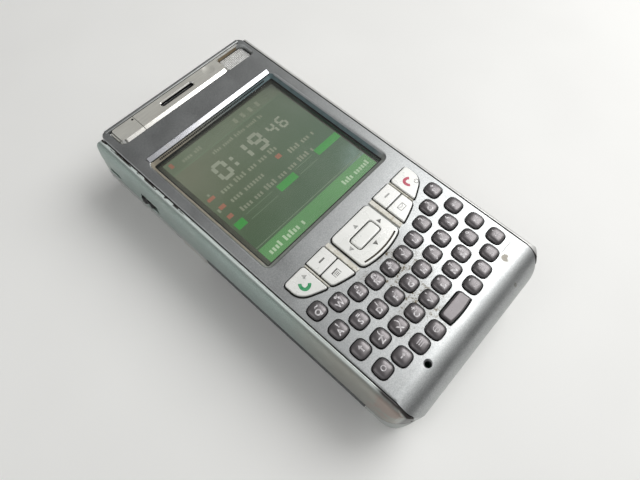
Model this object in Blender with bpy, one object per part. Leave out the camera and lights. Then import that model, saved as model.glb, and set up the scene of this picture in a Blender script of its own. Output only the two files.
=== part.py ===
"""Handheld personal digital assistant: square touch display, navigation cluster and a full letter keyboard.

Frame: metres, +X to the device's right, +Y towards the earpiece, +Z out of the display.
The origin is the centre of the flat back, which is the lowest plane. Sizes below are in millimetres.
"""

import math

import bmesh
import bpy
from mathutils import Vector

MM = 0.001
GAP = 0.3  # clearance between two neighbouring pieces

# Whole device
LENGTH = 118.5
WIDTH = 62.0
FRONT_Z = 22.0
SPLIT_Z = 10.0  # joint plane between the side frame and the rear cover
Y_END = LENGTH / 2
X_SIDE = WIDTH / 2
ROLL_R = 8.5  # the front rolls off over the bottom end
TOP_EDGE_R = 1.2
REAR_EDGE_R = 5.5
PLAN_R = (8.0, 2.6)  # corner radii seen from the front: bottom end, top end

# Front cover
COVER_X = 28.1  # half width between the two long seams
COVER_T = 1.5
COVER_EDGE_R = 0.7
COVER_PLAN_R = (5.0, 2.4)
SKIRT_Z = 18.6  # lower edge of the cover's sides
CHIN_Z = 12.3  # lower edge of the cover at the bottom end
STEP_Z = 20.6  # floor of the step that carries the earpiece bar
STEP_FLOOR_T = 1.3

# Display window
WINDOW_X = 25.0
WINDOW_Y0 = -7.4
WINDOW_Y1 = 41.0
WINDOW_R = 2.5
WINDOW_SLOPE = 1.0  # how far the window's walls lean in
LCD_SIDE = 43.1
LCD_CENTRE_Y = 16.8
GLASS_TOP_Z = 20.2
GLASS_T = 0.9
TRIM_Y = (40.5, 42.4)
TRIM_FLOOR_Z = 21.2

# Earpiece bar, stylus and loudspeaker window at the top end
BAR_Y0 = 50.9
BAR_Y1 = 58.3
BAR_X0 = -25.4
BAR_X1 = 16.6
BAR_TOP_Z = 21.9
BAR_ARM_X = 25.6
BAR_ARM_W = 0.9
STYLUS_SEAM_X = -17.0
STYLUS_SHAFT_X = -25.1
STYLUS_SHAFT_Z = 15.0
STYLUS_SHAFT_R = 1.3
STYLUS_NECK_X = (-25.3, -23.5)
STYLUS_NECK_Y = (53.0, 57.0)
STYLUS_TIP_Y = -42.0
EAR_SLOT = (-8.2, 4.4, 54.8, 1.5)  # x from, x to, y centre, width
GRILLE_X = (16.9, 26.3)
GRILLE_Y = (50.9, 57.1)
GRILLE_Z = (20.2, 20.6)

# Keyboard: four rows that bow upwards at both ends, y = y0 + x^2 / (2 R)
KEY_PITCH_X = 5.39
KEY_ROWS = ((-30.0, 48.0), (-36.2, 56.5), (-42.5, 66.2), (-48.9, 73.5))  # y0 and R of each row
KEY_SIZE = (4.4, 4.3)
KEY_HOLE = (4.96, 4.86)
KEY_POWER = 3.2
KEY_POINTS = 12
KEY_PROUD = 1.0
KEY_PLUNGER = 2.2  # width of the stem that meets the switch
KEY_PLUNGER_Z = -4.9  # its foot, from the cover's surface
FLANGE_T = 0.6  # retaining flange behind the cover
SPACE_SIZE = (8.8, 3.9)
SPACE_Y = -48.7
KEY_NAMES = (
    ("q", "w", "e", "r", "t", "y", "u", "i", "o", "p"),
    ("a", "s", "d", "f", "g", "h", "j", "k", "l", "delete"),
    ("shift", "z", "x", "c", "v", "b", "n", "m", "comma", "enter"),
    ("fn", "tab", "menu", "globe", "period", "zero", "symbol", "accent"),
)

# Navigation cluster
NAV_TOP_Y = -13.2
NAV_MID_Y = -18.2
NAV_ARC = (-25.4, 46.0)  # the lower border, y = y0 + x^2 / (2 R)
CALL_X = (18.0, 25.1)
SOFT_X = (10.2, 16.9)
DPAD_X = 7.6
DPAD_BOTTOM = (-25.9, 24.0)
OK_SIZE = (8.6, 3.7)
OK_Y = -19.1
NAV_PROUD = 0.8
DPAD_PIVOT_Z = 21.2

# Microphone hole
MIC_X = -15.9
MIC_Y = -52.2
MIC_R = 0.9

# Left side controls
ROCKER_Y = (11.9, 24.5)
ROCKER_Z = (4.0, 7.4)
SWITCH_Y = (34.0, 39.0)
SWITCH_Z = (12.0, 15.0)
SWITCH_TRAVEL = 2.0
SLOT_Y = (49.5, 54.5)
SLOT_Z = (11.4, 13.6)

# Rear half
SHELL_T = 1.6
DOOR_Y = (-47.0, 12.0)
DOOR_RECESS = 0.3  # the battery cover sits back from the plane the device rests on
BAY_ROOF_Z = (8.4, 9.4)
BATTERY = (46.0, 52.0, 1.9, 8.0)  # x size, y size, z from, z to
BATTERY_Y = -17.5
LENS_Y = 44.0
LENS_R = 3.6

# Board, dock socket and display module
DOCK_X = (-9.5, 9.5)
BOARD_X = (-23.4, 26.4)
BOARD_Y = (-55.0, 56.0)
BOARD_Z = (15.4, 16.4)
MODULE_Z = (17.0, 19.0)


# ---------------------------------------------------------------- outlines


def arc(cx, cy, rx, ry, start, end, steps):
    """Points of an elliptic arc, angles in degrees."""
    points = []
    for i in range(steps + 1):
        a = math.radians(start + (end - start) * i / steps)
        points.append((cx + rx * math.cos(a), cy + ry * math.sin(a)))
    return points


def rounded_rect(x0, x1, y0, y1, r, steps=4):
    return (
        arc(x1 - r, y0 + r, r, r, -90, 0, steps)
        + arc(x1 - r, y1 - r, r, r, 0, 90, steps)
        + arc(x0 + r, y1 - r, r, r, 90, 180, steps)
        + arc(x0 + r, y0 + r, r, r, 180, 270, steps)
    )


def end_rounded(half_x, half_y, low, high, steps):
    """A centred rectangle with one corner radius at the bottom end and another at the top end."""
    return (
        arc(half_x - low, -half_y + low, low, low, -90, 0, steps)
        + arc(half_x - high, half_y - high, high, high, 0, 90, steps)
        + arc(-half_x + high, half_y - high, high, high, 90, 180, steps)
        + arc(-half_x + low, -half_y + low, low, low, 180, 270, steps)
    )


def rectangle(x0, x1, y0, y1):
    return [(x0, y0), (x1, y0), (x1, y1), (x0, y1)]


def squircle(width, height, points=KEY_POINTS, power=KEY_POWER):
    """A superellipse: between an ellipse and a rectangle."""
    outline = []
    for i in range(points):
        a = 2 * math.pi * (i + 0.5) / points
        c, s = math.cos(a), math.sin(a)
        reach = (abs(c) ** power + abs(s) ** power) ** (-1 / power)
        outline.append((width / 2 * c * reach, height / 2 * s * reach))
    return outline


def fillet(corners, radius, steps=2):
    """Rounds every corner of a polygon."""
    outline = []
    count = len(corners)
    for i in range(count):
        here = Vector(corners[i])
        back = Vector(corners[i - 1]) - here
        ahead = Vector(corners[(i + 1) % count]) - here
        half = back.angle(ahead) / 2
        if half > math.radians(80):
            outline.append(tuple(here))
            continue
        reach = min(radius / math.tan(half), 0.45 * back.length, 0.45 * ahead.length)
        first = here + back.normalized() * reach
        last = here + ahead.normalized() * reach
        for step in range(steps + 1):
            t = step / steps
            point = first * (1 - t) ** 2 + here * 2 * t * (1 - t) + last * t**2
            outline.append(tuple(point))
    return outline


def grown(outline, by):
    """The outline pushed outwards by a distance; it runs counter-clockwise."""
    result = []
    count = len(outline)
    for i in range(count):
        here = Vector(outline[i])
        along_in = (here - Vector(outline[i - 1])).normalized()
        along_out = (Vector(outline[(i + 1) % count]) - here).normalized()
        normal_in = Vector((along_in.y, -along_in.x))
        normal_out = Vector((along_out.y, -along_out.x))
        middle = (normal_in + normal_out).normalized()
        result.append(tuple(here + middle * by / max(0.5, middle.dot(normal_in))))
    return result


def moved(outline, dx, dy):
    return [(x + dx, y + dy) for x, y in outline]


def mirrored(outline):
    return [(-x, y) for x, y in reversed(outline)]


def bow(x, y0, radius):
    return y0 + x * x / (2 * radius)


# ---------------------------------------------------------------- solids


def mesh_object(name, points, faces):
    mesh = bpy.data.meshes.new(name)
    bm = bmesh.new()
    verts = [bm.verts.new(Vector(p) * MM) for p in points]
    for face in faces:
        bm.faces.new([verts[i] for i in face])
    bmesh.ops.recalc_face_normals(bm, faces=bm.faces)
    bm.to_mesh(mesh)
    bm.free()
    obj = bpy.data.objects.new(name, mesh)
    bpy.context.collection.objects.link(obj)
    return obj


def place(a, b, level, axis):
    """A point of an outline that is stacked along X, Y or Z."""
    return {"X": (level, a, b), "Y": (a, level, b), "Z": (a, b, level)}[axis]


def loft(name, sections, axis="Z"):
    """Joins outlines with the same number of points, each a (outline, level) pair, and closes both ends."""
    points = [place(a, b, level, axis) for outline, level in sections for a, b in outline]
    n = len(sections[0][0])
    faces = [list(range(n)), list(range(len(points) - n, len(points)))]
    for row in range(len(sections) - 1):
        for i in range(n):
            j = (i + 1) % n
            faces.append([row * n + i, row * n + j, (row + 1) * n + j, (row + 1) * n + i])
    return mesh_object(name, points, faces)


def prism(name, outline, low, high, axis="Z"):
    return loft(name, [(outline, low), (outline, high)], axis)


def box(name, x, y, z):
    return prism(name, rectangle(*x, *y), *z)


def combine(target, tool, operation):
    """Adds a Boolean with a hidden tool solid."""
    modifier = target.modifiers.new(operation.lower(), "BOOLEAN")
    modifier.operation = operation
    modifier.solver = "EXACT"
    modifier.object = tool
    tool.hide_render = True
    tool.display_type = "WIRE"


def cut(target, *tools):
    for tool in tools:
        combine(target, tool, "DIFFERENCE")


def add(target, *tools):
    for tool in tools:
        combine(target, tool, "UNION")


def crossed(name, side, section, plan):
    """The solid that three extruded outlines share: side (y, z), cross-section (x, z) and plan (x, y)."""
    solid = prism(name, side, -X_SIDE - 2, X_SIDE + 2, "X")
    tall = prism(name + "_section", section, -Y_END - 2, Y_END + 2, "Y")
    flat = prism(name + "_plan", plan, -2, FRONT_Z + 2)
    combine(solid, tall, "INTERSECT")
    combine(solid, flat, "INTERSECT")
    return solid


def gathered(name, prisms):
    """One tool object that holds several separate prisms, each (outline, low, high)."""
    points, faces = [], []
    for outline, low, high in prisms:
        start, n = len(points), len(outline)
        points += [(x, y, low) for x, y in outline] + [(x, y, high) for x, y in outline]
        faces.append([start + i for i in range(n)])
        faces.append([start + n + i for i in range(n)])
        for i in range(n):
            j = (i + 1) % n
            faces.append([start + i, start + j, start + n + j, start + n + i])
    return mesh_object(name, points, faces)


def set_origin(obj, x, y, z):
    """Moves the origin to a point in millimetres and leaves the shape where it is."""
    offset = Vector((x, y, z)) * MM
    for vertex in obj.data.vertices:
        vertex.co -= offset
    obj.location = offset


# ---------------------------------------------------------------- materials


def material(name, color, roughness, metallic=0.0, alpha=1.0):
    found = bpy.data.materials.get(name)
    if found:
        return found
    made = bpy.data.materials.new(name)
    made.use_nodes = True
    shader = made.node_tree.nodes["Principled BSDF"]
    shader.inputs["Base Color"].default_value = (*color, 1.0)
    shader.inputs["Roughness"].default_value = roughness
    shader.inputs["Metallic"].default_value = metallic
    shader.inputs["Alpha"].default_value = alpha
    return made


def finish(obj, finish_name, smooth_deg=30):
    """Gives a piece its material and smooth shading between faces that meet gently."""
    looks = {
        "front_paint": ((0.22, 0.23, 0.24), 0.35, 0.6),
        "side_paint": ((0.42, 0.50, 0.49), 0.35, 0.6),
        "rear_plastic": ((0.45, 0.47, 0.47), 0.5, 0.2),
        "door_plastic": ((0.12, 0.13, 0.14), 0.5, 0.1),
        "key_plastic": ((0.10, 0.10, 0.11), 0.25, 0.2),
        "nav_plastic": ((0.72, 0.72, 0.69), 0.3, 0.3),
        "polished_metal": ((0.70, 0.69, 0.66), 0.2, 0.9),
        "mesh_metal": ((0.85, 0.85, 0.84), 0.4, 0.7),
        "window_glass": ((0.30, 0.33, 0.28), 0.05, 0.0),
        "display_cell": ((0.12, 0.20, 0.10), 0.2, 0.0),
        "switch_plastic": ((0.02, 0.02, 0.02), 0.5, 0.0),
        "board_laminate": ((0.03, 0.16, 0.08), 0.5, 0.0),
        "battery_wrap": ((0.08, 0.09, 0.11), 0.5, 0.0),
    }
    obj.data.materials.append(material(finish_name, *looks[finish_name]))
    obj.data.shade_smooth()
    obj.data.set_sharp_from_angle(angle=math.radians(smooth_deg))
    return obj


# ---------------------------------------------------------------- casing


def cover_side(inset, bottom):
    """Side view (y, z) of the front cover: rolled bottom end, small top edge, stepped lower border."""
    roll, top = ROLL_R - inset, TOP_EDGE_R
    end, front = Y_END - inset, FRONT_Z - inset
    centre_z = FRONT_Z - ROLL_R
    return (
        [(-Y_END + ROLL_R + 2, bottom), (-Y_END + ROLL_R - 2, CHIN_Z), (-end, CHIN_Z)]
        + arc(-Y_END + ROLL_R, centre_z, roll, roll, 180, 90, 10)
        + arc(end - top, front - top, top, top, 90, 0, 3)
        + [(end, bottom)]
    )


def cover_section(inset):
    half, front, r = COVER_X - inset, FRONT_Z - inset, COVER_EDGE_R
    return (
        [(-half, SPLIT_Z), (half, SPLIT_Z)]
        + arc(half - r, front - r, r, r, 0, 90, 3)
        + arc(-half + r, front - r, r, r, 90, 180, 3)
    )


def cover_plan(inset):
    half, end = COVER_X - inset, Y_END - inset
    return end_rounded(half, end, *COVER_PLAN_R, 3)


def cover_blank(name, inset, bottom=SKIRT_Z):
    """The front cover's outer form as a solid. A negative inset makes the clearance around it."""
    return crossed(name, cover_side(inset, bottom), cover_section(inset), cover_plan(inset))


def cover_hollow():
    """The room behind the cover's skin: deep behind the window and keys, shallow behind the step."""
    inner_x = COVER_X - COVER_T + 0.3
    inner_end = Y_END - COVER_T
    roll = ROLL_R - COVER_T
    step_y = BAR_Y0 - 1.2
    side = (
        [(-inner_end, SPLIT_Z)]
        + arc(-Y_END + ROLL_R, FRONT_Z - ROLL_R, roll, roll, 180, 90, 8)
        + [
            (step_y, FRONT_Z - COVER_T),
            (step_y, STEP_Z - STEP_FLOOR_T),
            (inner_end, STEP_Z - STEP_FLOOR_T),
            (inner_end, SPLIT_Z),
        ]
    )
    hollow = prism("cover_hollow", side, -inner_x, inner_x, "X")
    low, high = COVER_PLAN_R
    plan = end_rounded(inner_x, inner_end, low - COVER_T, high - COVER_T, 3)
    crop = prism("cover_hollow_plan", plan, SPLIT_Z - 1, FRONT_Z)
    combine(hollow, crop, "INTERSECT")
    return hollow


def key_places():
    """Name, x and y of every letter key; the bottom row leaves the middle to the space bar."""
    places = []
    for names, (y0, radius) in zip(KEY_NAMES, KEY_ROWS):
        columns = [i - 4.5 for i in range(10)]
        if len(names) == 8:
            columns = [c for c in columns if abs(c) > 1]
        for name, column in zip(names, columns):
            x = column * KEY_PITCH_X
            places.append(("key_" + name, x, bow(x, y0, radius)))
    return places


def key_openings():
    holes = [moved(squircle(*KEY_HOLE), x, y) for _, x, y in key_places()]
    holes.append(moved(space_outline(GAP), 0, SPACE_Y))
    holes += [grown(outline, GAP) for outline in nav_rooms()]
    return gathered("key_openings", [(hole, SPLIT_Z, FRONT_Z + 2) for hole in holes])


def window_tool():
    def outline(inset):
        return rounded_rect(
            -WINDOW_X + inset, WINDOW_X - inset, WINDOW_Y0 + inset, WINDOW_Y1 - inset, WINDOW_R - inset / 2
        )

    floor = FRONT_Z - COVER_T
    sections = [
        (outline(WINDOW_SLOPE), floor - 1),
        (outline(WINDOW_SLOPE), floor),
        (outline(0), FRONT_Z),
        (outline(0), FRONT_Z + 1),
    ]
    return loft("window_tool", sections)


def neck_room(name):
    """The open channel that lets the stylus neck leave through the top end."""
    return box(
        name,
        (STYLUS_NECK_X[0] - GAP, STYLUS_NECK_X[1] + GAP),
        (STYLUS_NECK_Y[0] - GAP, Y_END + 2),
        (STYLUS_SHAFT_Z, FRONT_Z + 2),
    )


def top_end_tools():
    """Cuts for the bar's step, the stylus channel, the earpiece slot and the loudspeaker window."""
    step = prism(
        "step_tool",
        fillet(rectangle(BAR_X0 - GAP, BAR_X1 + GAP, BAR_Y0 - GAP, Y_END + 2), 1.6),
        STEP_Z,
        FRONT_Z + 2,
    )
    arm = box("arm_tool", (BAR_X1 - 1, BAR_ARM_X + GAP), (GRILLE_Y[1], Y_END + 2), (STEP_Z, FRONT_Z + 2))
    neck = neck_room("cover_neck_tool")
    shaft = prism("shaft_tool", stylus_bore(), 50.0, Y_END + 2, "Y")
    x0, x1, y, width = EAR_SLOT
    slot = prism(
        "ear_slot_tool",
        rounded_rect(x0, x1, y - width / 2, y + width / 2, width / 2 - 0.01, 3),
        SPLIT_Z,
        FRONT_Z + 2,
    )
    grille_seat = prism(
        "grille_seat_tool",
        rounded_rect(GRILLE_X[0] - 0.2, GRILLE_X[1] + GAP, GRILLE_Y[0] - GAP, GRILLE_Y[1] + GAP, 1.5, 3),
        GRILLE_Z[0] - GAP,
        FRONT_Z + 2,
    )
    sound = box(
        "sound_tool",
        (GRILLE_X[0] + 1.2, GRILLE_X[1] - 1.2),
        (GRILLE_Y[0] + 1, GRILLE_Y[1] - 1),
        (SPLIT_Z, FRONT_Z),
    )
    return step, arm, neck, shaft, slot, grille_seat, sound


def mic_tool():
    return prism("mic_tool", arc(MIC_X, MIC_Y, MIC_R, MIC_R, 0, 330, 11), SPLIT_Z, FRONT_Z + 2)


def trim_tool():
    half = WINDOW_X - 0.8
    return box("trim_tool", (-half, half), TRIM_Y, (TRIM_FLOOR_Z, FRONT_Z + 2))


def front_cover():
    cover = cover_blank("front_cover", 0)
    cut(cover, cover_hollow(), key_openings(), window_tool(), trim_tool(), mic_tool())
    cut(cover, *top_end_tools())
    return finish(cover, "front_paint")


def rail_top(offset):
    """Height of the side frame's upper edge at a distance outside the long seam."""
    reach = X_SIDE - COVER_X
    drop = FRONT_Z - 0.25 - (SPLIT_Z + 3)
    share = min(1.0, offset / reach)
    return SPLIT_Z + 3 + drop * (1 - share**2.4) ** (1 / 2.4)


def frame_section():
    """Cross-section (x, z) of the side frame: each side bulges out and rolls over to the seam."""
    steps = (1.0, 0.985, 0.94, 0.85, 0.7, 0.5, 0.25, 0.0)
    reach = X_SIDE - COVER_X
    right = [(COVER_X + reach * s, rail_top(reach * s)) for s in steps]
    left = [(-x, z) for x, z in reversed(right)]
    return [(-X_SIDE, SPLIT_Z), (X_SIDE, SPLIT_Z)] + right + left


def frame_side():
    """Side view (y, z) of the side frame: it follows the cover's roll at the bottom end."""
    return (
        [(-Y_END, SPLIT_Z)]
        + arc(-Y_END + ROLL_R, FRONT_Z - ROLL_R, ROLL_R, ROLL_R, 180, 90, 10)
        + arc(Y_END - 3, FRONT_Z - 3, 3, 3, 90, 0, 4)
        + [(Y_END, SPLIT_Z)]
    )


def body_plan(inset=0.0):
    low, high = PLAN_R
    return end_rounded(X_SIDE - inset, Y_END - inset, low - inset, high - inset, 5)


def stylus_bore():
    """The stylus channel's outline (x, z)."""
    r = STYLUS_SHAFT_R + GAP
    return arc(STYLUS_SHAFT_X, STYLUS_SHAFT_Z, r, r, 0, 330, 11)


def mid_frame():
    frame = crossed("mid_frame", frame_side(), frame_section(), body_plan())
    inner = COVER_X - 0.6
    hollow = prism(
        "frame_hollow",
        rounded_rect(-inner, inner, -Y_END + 1.9, Y_END - 1.9, 2.0, 3),
        SPLIT_Z - 1,
        FRONT_Z + 2,
    )
    switch_room = box(
        "switch_room",
        (-X_SIDE - 2, -COVER_X + 2),
        (SWITCH_Y[0] - GAP - SWITCH_TRAVEL, SWITCH_Y[1] + GAP),
        (SWITCH_Z[0] - GAP, SWITCH_Z[1] + GAP),
    )
    card_slot = prism(
        "card_slot",
        rounded_rect(*SLOT_Y, *SLOT_Z, 1.0, 3),
        -X_SIDE - 2,
        -COVER_X + 2,
        "X",
    )
    cut(frame, cover_blank("cover_room", -GAP, SKIRT_Z - GAP), hollow)
    cut(frame, prism("frame_bore", stylus_bore(), 50.0, Y_END + 2, "Y"), neck_room("frame_neck_tool"))
    dock_room = box("dock_room", DOCK_X, (-Y_END - 2, -Y_END + 4), (SPLIT_Z - 1, CHIN_Z + 1))
    cut(frame, switch_room, card_slot, dock_room)
    return finish(frame, "side_paint")


def rear_section(inset=0.0):
    """Cross-section (x, z) of the rear half: quarter ellipses from the flat back up to the sides."""
    half = X_SIDE - inset
    rise = 8.0 - inset
    return (
        arc(half - REAR_EDGE_R, rise + inset, REAR_EDGE_R, rise, -90, 0, 6)
        + [(half, SPLIT_Z + 1), (-half, SPLIT_Z + 1)]
        + arc(-half + REAR_EDGE_R, rise + inset, REAR_EDGE_R, rise, 180, 270, 6)
    )


def rear_side():
    """Side view (y, z) of the rear half."""
    return (
        arc(-Y_END + REAR_EDGE_R, 8.0, REAR_EDGE_R, 8.0, 180, 270, 5)
        + arc(Y_END - REAR_EDGE_R, 8.0, REAR_EDGE_R, 8.0, -90, 0, 5)
        + [(Y_END, SPLIT_Z - GAP), (-Y_END, SPLIT_Z - GAP)]
    )


def rear_blank(name):
    return crossed(name, rear_side(), rear_section(), body_plan())


def rear_cover():
    """The rear half: end tubs for the camera and the dock, joined by the roof of the battery bay."""
    cover = rear_blank("rear_cover")
    door_room = box(
        "door_room",
        (-X_SIDE - 2, X_SIDE + 2),
        (DOOR_Y[0] - GAP, DOOR_Y[1] + GAP),
        (-2, BAY_ROOF_Z[0]),
    )
    skirt_x = X_SIDE - SHELL_T - 2 * GAP
    skirt_y = (DOOR_Y[0] - GAP, DOOR_Y[1] + GAP)
    left_skirt = box("left_skirt_room", (-X_SIDE - 2, -skirt_x), skirt_y, (0, SPLIT_Z + 1))
    right_skirt = box("right_skirt_room", (skirt_x, X_SIDE + 2), skirt_y, (0, SPLIT_Z + 1))
    inner_x = X_SIDE - 4.4
    top_tub = box("top_tub", (-inner_x, inner_x), (DOOR_Y[1] + 2, Y_END - 3), (SHELL_T, SPLIT_Z + 1))
    chin_tub = box("chin_tub", (-inner_x, inner_x), (-Y_END + 3, DOOR_Y[0] - 2), (SHELL_T, SPLIT_Z + 1))
    relief_y = (DOOR_Y[0] - 4, DOOR_Y[1] + 4)
    roof_relief = box("roof_relief", (-inner_x, inner_x), relief_y, (BAY_ROOF_Z[1], SPLIT_Z + 1))
    lens = prism("lens_tool", arc(0, LENS_Y, LENS_R, LENS_R, 0, 337.5, 15), -1, SHELL_T + 1)
    rocker_room = box(
        "rocker_room",
        (-X_SIDE - 2, -X_SIDE + 3.4),
        (ROCKER_Y[0] + 0.4, ROCKER_Y[1] + GAP + 0.4),
        (ROCKER_Z[0] - GAP, ROCKER_Z[1] + GAP),
    )
    cut(cover, door_room, left_skirt, right_skirt, top_tub, chin_tub, roof_relief, lens, rocker_room)
    return finish(cover, "rear_plastic")


def battery_cover():
    """The removable door with side skirts that wrap up to the joint plane."""
    door = rear_blank("battery_cover")
    keep = box("door_keep", (-X_SIDE - 2, X_SIDE + 2), DOOR_Y, (DOOR_RECESS, SPLIT_Z - GAP))
    combine(door, keep, "INTERSECT")
    inner_x = X_SIDE - SHELL_T - GAP
    slope = X_SIDE - REAR_EDGE_R
    hollow = prism(
        "door_hollow",
        [(-slope, SHELL_T), (slope, SHELL_T), (inner_x, 5.5), (inner_x, 12), (-inner_x, 12), (-inner_x, 5.5)],
        DOOR_Y[0] - 2,
        DOOR_Y[1] + 2,
        "Y",
    )
    cut(door, hollow)
    return finish(door, "door_plastic")


# ---------------------------------------------------------------- inside


def battery_pack():
    x, y, z0, z1 = BATTERY
    outline = rounded_rect(-x / 2, x / 2, BATTERY_Y - y / 2, BATTERY_Y + y / 2, 1.5, 3)
    return finish(prism("battery_pack", outline, z0, z1), "battery_wrap")


def main_board():
    """Laminate with its soldered parts: shields, memory, card cage, loudspeaker can, motor, dock socket."""
    board = box("main_board", BOARD_X, BOARD_Y, BOARD_Z)
    floor = BOARD_Z[0] + 0.2
    parts = (
        ("processor_shield", (-18, 8), (-4, 24), 12.4),
        ("radio_shield", (-20, 4), (-40, -14), 12.6),
        ("memory_chip", (10, 24), (2, 18), 13.6),
        ("card_cage", (-20, 6), (28, 54), 11.2),
        ("loudspeaker_can", (14, 25), (40, 53), 11.6),
        ("vibration_motor", (14, 24), (-38, -30), 12.0),
        ("dock_socket", (DOCK_X[0] + 0.5, DOCK_X[1] - 0.5), (-55.5, -49), 11.4),
    )
    for name, x, y, low in parts:
        add(board, box(name, x, y, (low, floor)))
    return finish(board, "board_laminate")


def display_module():
    half = LCD_SIDE / 2 + 1.6
    outline = rounded_rect(-half, half, LCD_CENTRE_Y - half - 1, LCD_CENTRE_Y + half, 1.0, 2)
    return finish(prism("display_module", outline, *MODULE_Z), "display_cell")


def touch_panel():
    half_x = WINDOW_X - 0.2
    outline = rounded_rect(-half_x, half_x, WINDOW_Y0 + 0.2, WINDOW_Y1 - 0.2, 1.5, 3)
    return finish(prism("touch_panel", outline, GLASS_TOP_Z - GLASS_T, GLASS_TOP_Z), "window_glass")


# ---------------------------------------------------------------- top end


def bar_outline():
    """Plan of the earpiece bar, with the thin arm that runs on above the loudspeaker window."""
    x0 = STYLUS_SEAM_X + GAP / 2
    arm_y = BAR_Y1 - BAR_ARM_W
    corners = [
        (x0, BAR_Y0),
        (BAR_X1 - 1.4, BAR_Y0),
        (BAR_X1 - 0.4, BAR_Y0 + 0.5),
        (BAR_X1, BAR_Y0 + 1.6),
        (BAR_X1, arm_y),
        (BAR_ARM_X, arm_y),
        (BAR_ARM_X, BAR_Y1),
        (x0, BAR_Y1),
    ]
    return corners


def earpiece_bar():
    bar = prism("earpiece_bar", bar_outline(), STEP_Z + GAP, BAR_TOP_Z)
    x0, x1, y, width = EAR_SLOT
    slot = prism(
        "bar_slot_tool",
        rounded_rect(x0, x1, y - width / 2, y + width / 2, width / 2 - 0.01, 3),
        STEP_Z - 1,
        BAR_TOP_Z + 1,
    )
    cut(bar, slot)
    return finish(bar, "polished_metal")


def stylus():
    """The stylus: a flat head that ends the silver bar, a neck down through the step, and a round shaft."""
    x1 = STYLUS_SEAM_X - GAP / 2
    head = [
        (BAR_X0 + 1.4, BAR_Y0),
        (x1, BAR_Y0),
        (x1, BAR_Y1),
        (BAR_X0 + 0.5, BAR_Y1),
        (BAR_X0, BAR_Y1 - 0.5),
        (BAR_X0, BAR_Y0 + 1.6),
        (BAR_X0 + 0.4, BAR_Y0 + 0.5),
    ]
    piece = prism("stylus", head, STEP_Z + GAP, BAR_TOP_Z)
    x, z, r = STYLUS_SHAFT_X, STYLUS_SHAFT_Z, STYLUS_SHAFT_R
    neck = box("stylus_neck", STYLUS_NECK_X, STYLUS_NECK_Y, (z, STEP_Z + 1))
    tip_r = 0.35
    rings = (
        (tip_r, STYLUS_TIP_Y),
        (tip_r, STYLUS_TIP_Y + 1.2),
        (r, STYLUS_TIP_Y + 5.0),
        (r, Y_END - 1.6),
        (r - 0.4, Y_END - 1.0),
    )
    sections = [(arc(x, z, size, size, 0, 330, 11), y) for size, y in rings]
    shaft = loft("stylus_shaft", sections, "Y")
    add(piece, neck, shaft)
    finish(piece, "polished_metal")
    set_origin(piece, 0, 0, 0)
    return piece


def speaker_grille():
    outline = rounded_rect(GRILLE_X[0] + 0.1, GRILLE_X[1], *GRILLE_Y, 1.2, 3)
    return finish(prism("speaker_grille", outline, *GRILLE_Z), "mesh_metal")


# ---------------------------------------------------------------- keys


def key_mesh():
    """One letter key, about its own origin at the cover's surface: stem, retaining flange and domed cap."""
    width, height = KEY_SIZE
    flange = (width + 0.2, height + 1.4)
    flange_z = (-COVER_T - GAP - FLANGE_T, -COVER_T - GAP)
    sections = [
        (squircle(KEY_PLUNGER, KEY_PLUNGER), KEY_PLUNGER_Z),
        (squircle(KEY_PLUNGER, KEY_PLUNGER), flange_z[0]),
        (squircle(*flange), flange_z[0]),
        (squircle(*flange), flange_z[1]),
        (squircle(width, height), flange_z[1]),
        (squircle(width, height), 0.45 * KEY_PROUD),
        (squircle(width - 0.7, height - 0.7), 0.85 * KEY_PROUD),
        (squircle(width - 2.4, height - 2.4), KEY_PROUD),
    ]
    return finish(loft("key_blank", sections), "key_plastic", 50)


def letter_keys():
    """Every letter key shares one mesh and stands at its own place in the bowed rows."""
    blank = key_mesh()
    for name, x, y in key_places():
        key = bpy.data.objects.new(name, blank.data)
        key.location = Vector((x, y, FRONT_Z)) * MM
        bpy.context.collection.objects.link(key)
    bpy.data.objects.remove(blank)


def space_outline(by=0.0):
    """The space bar's plan: a rounded rectangle whose lower edge bows."""
    w, h = SPACE_SIZE
    top = [(w / 2, h / 2), (-w / 2, h / 2)]
    lower = [(-w / 2 + w * i / 6, -h / 2 + 0.5 * (2 * i / 6 - 1) ** 2) for i in range(7)]
    return grown(fillet(lower + top, 0.9), by)


def space_bar():
    sections = [
        (space_outline(), -COVER_T - GAP - FLANGE_T),
        (space_outline(), 0.45 * KEY_PROUD),
        (space_outline(-0.35), 0.8 * KEY_PROUD),
        (space_outline(-0.9), 0.95 * KEY_PROUD),
    ]
    bar = finish(loft("key_space", sections), "key_plastic", 50)
    bar.location = Vector((0, SPACE_Y, FRONT_Z)) * MM
    return bar


def under_arc(x0, x1, top, arc_shape, steps=4):
    """A key plan between x0 and x1, straight above and following the cluster's bowed border below."""
    across = [x0 + (x1 - x0) * i / steps for i in range(steps + 1)]
    return [(x, bow(x, *arc_shape)) for x in across] + [(x1, top), (x0, top)]


def nav_outlines():
    """Name and plan of the keys around the direction pad; the left ones mirror the right ones."""
    right = {
        "end_key": fillet(under_arc(*CALL_X, NAV_TOP_Y, NAV_ARC), 0.9),
        "softkey_right": fillet(rectangle(*SOFT_X, NAV_MID_Y + GAP / 2, NAV_TOP_Y), 0.35),
        "mail_key": fillet(under_arc(*SOFT_X, NAV_MID_Y - GAP / 2, NAV_ARC), 0.35),
    }
    outlines = list(right.items())
    names = {"end_key": "call_key", "softkey_right": "softkey_left", "mail_key": "menu_key"}
    outlines += [(names[name], mirrored(outline)) for name, outline in right.items()]
    outlines.append(("direction_pad", dpad_outline()))
    return outlines


def nav_rooms():
    """Plans of the cluster's openings: a softkey shares one with the key below it."""
    end = fillet(under_arc(*CALL_X, NAV_TOP_Y, NAV_ARC), 0.9)
    pair = fillet(under_arc(*SOFT_X, NAV_TOP_Y, NAV_ARC), 0.35)
    return [end, pair, mirrored(end), mirrored(pair), dpad_outline()]


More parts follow.
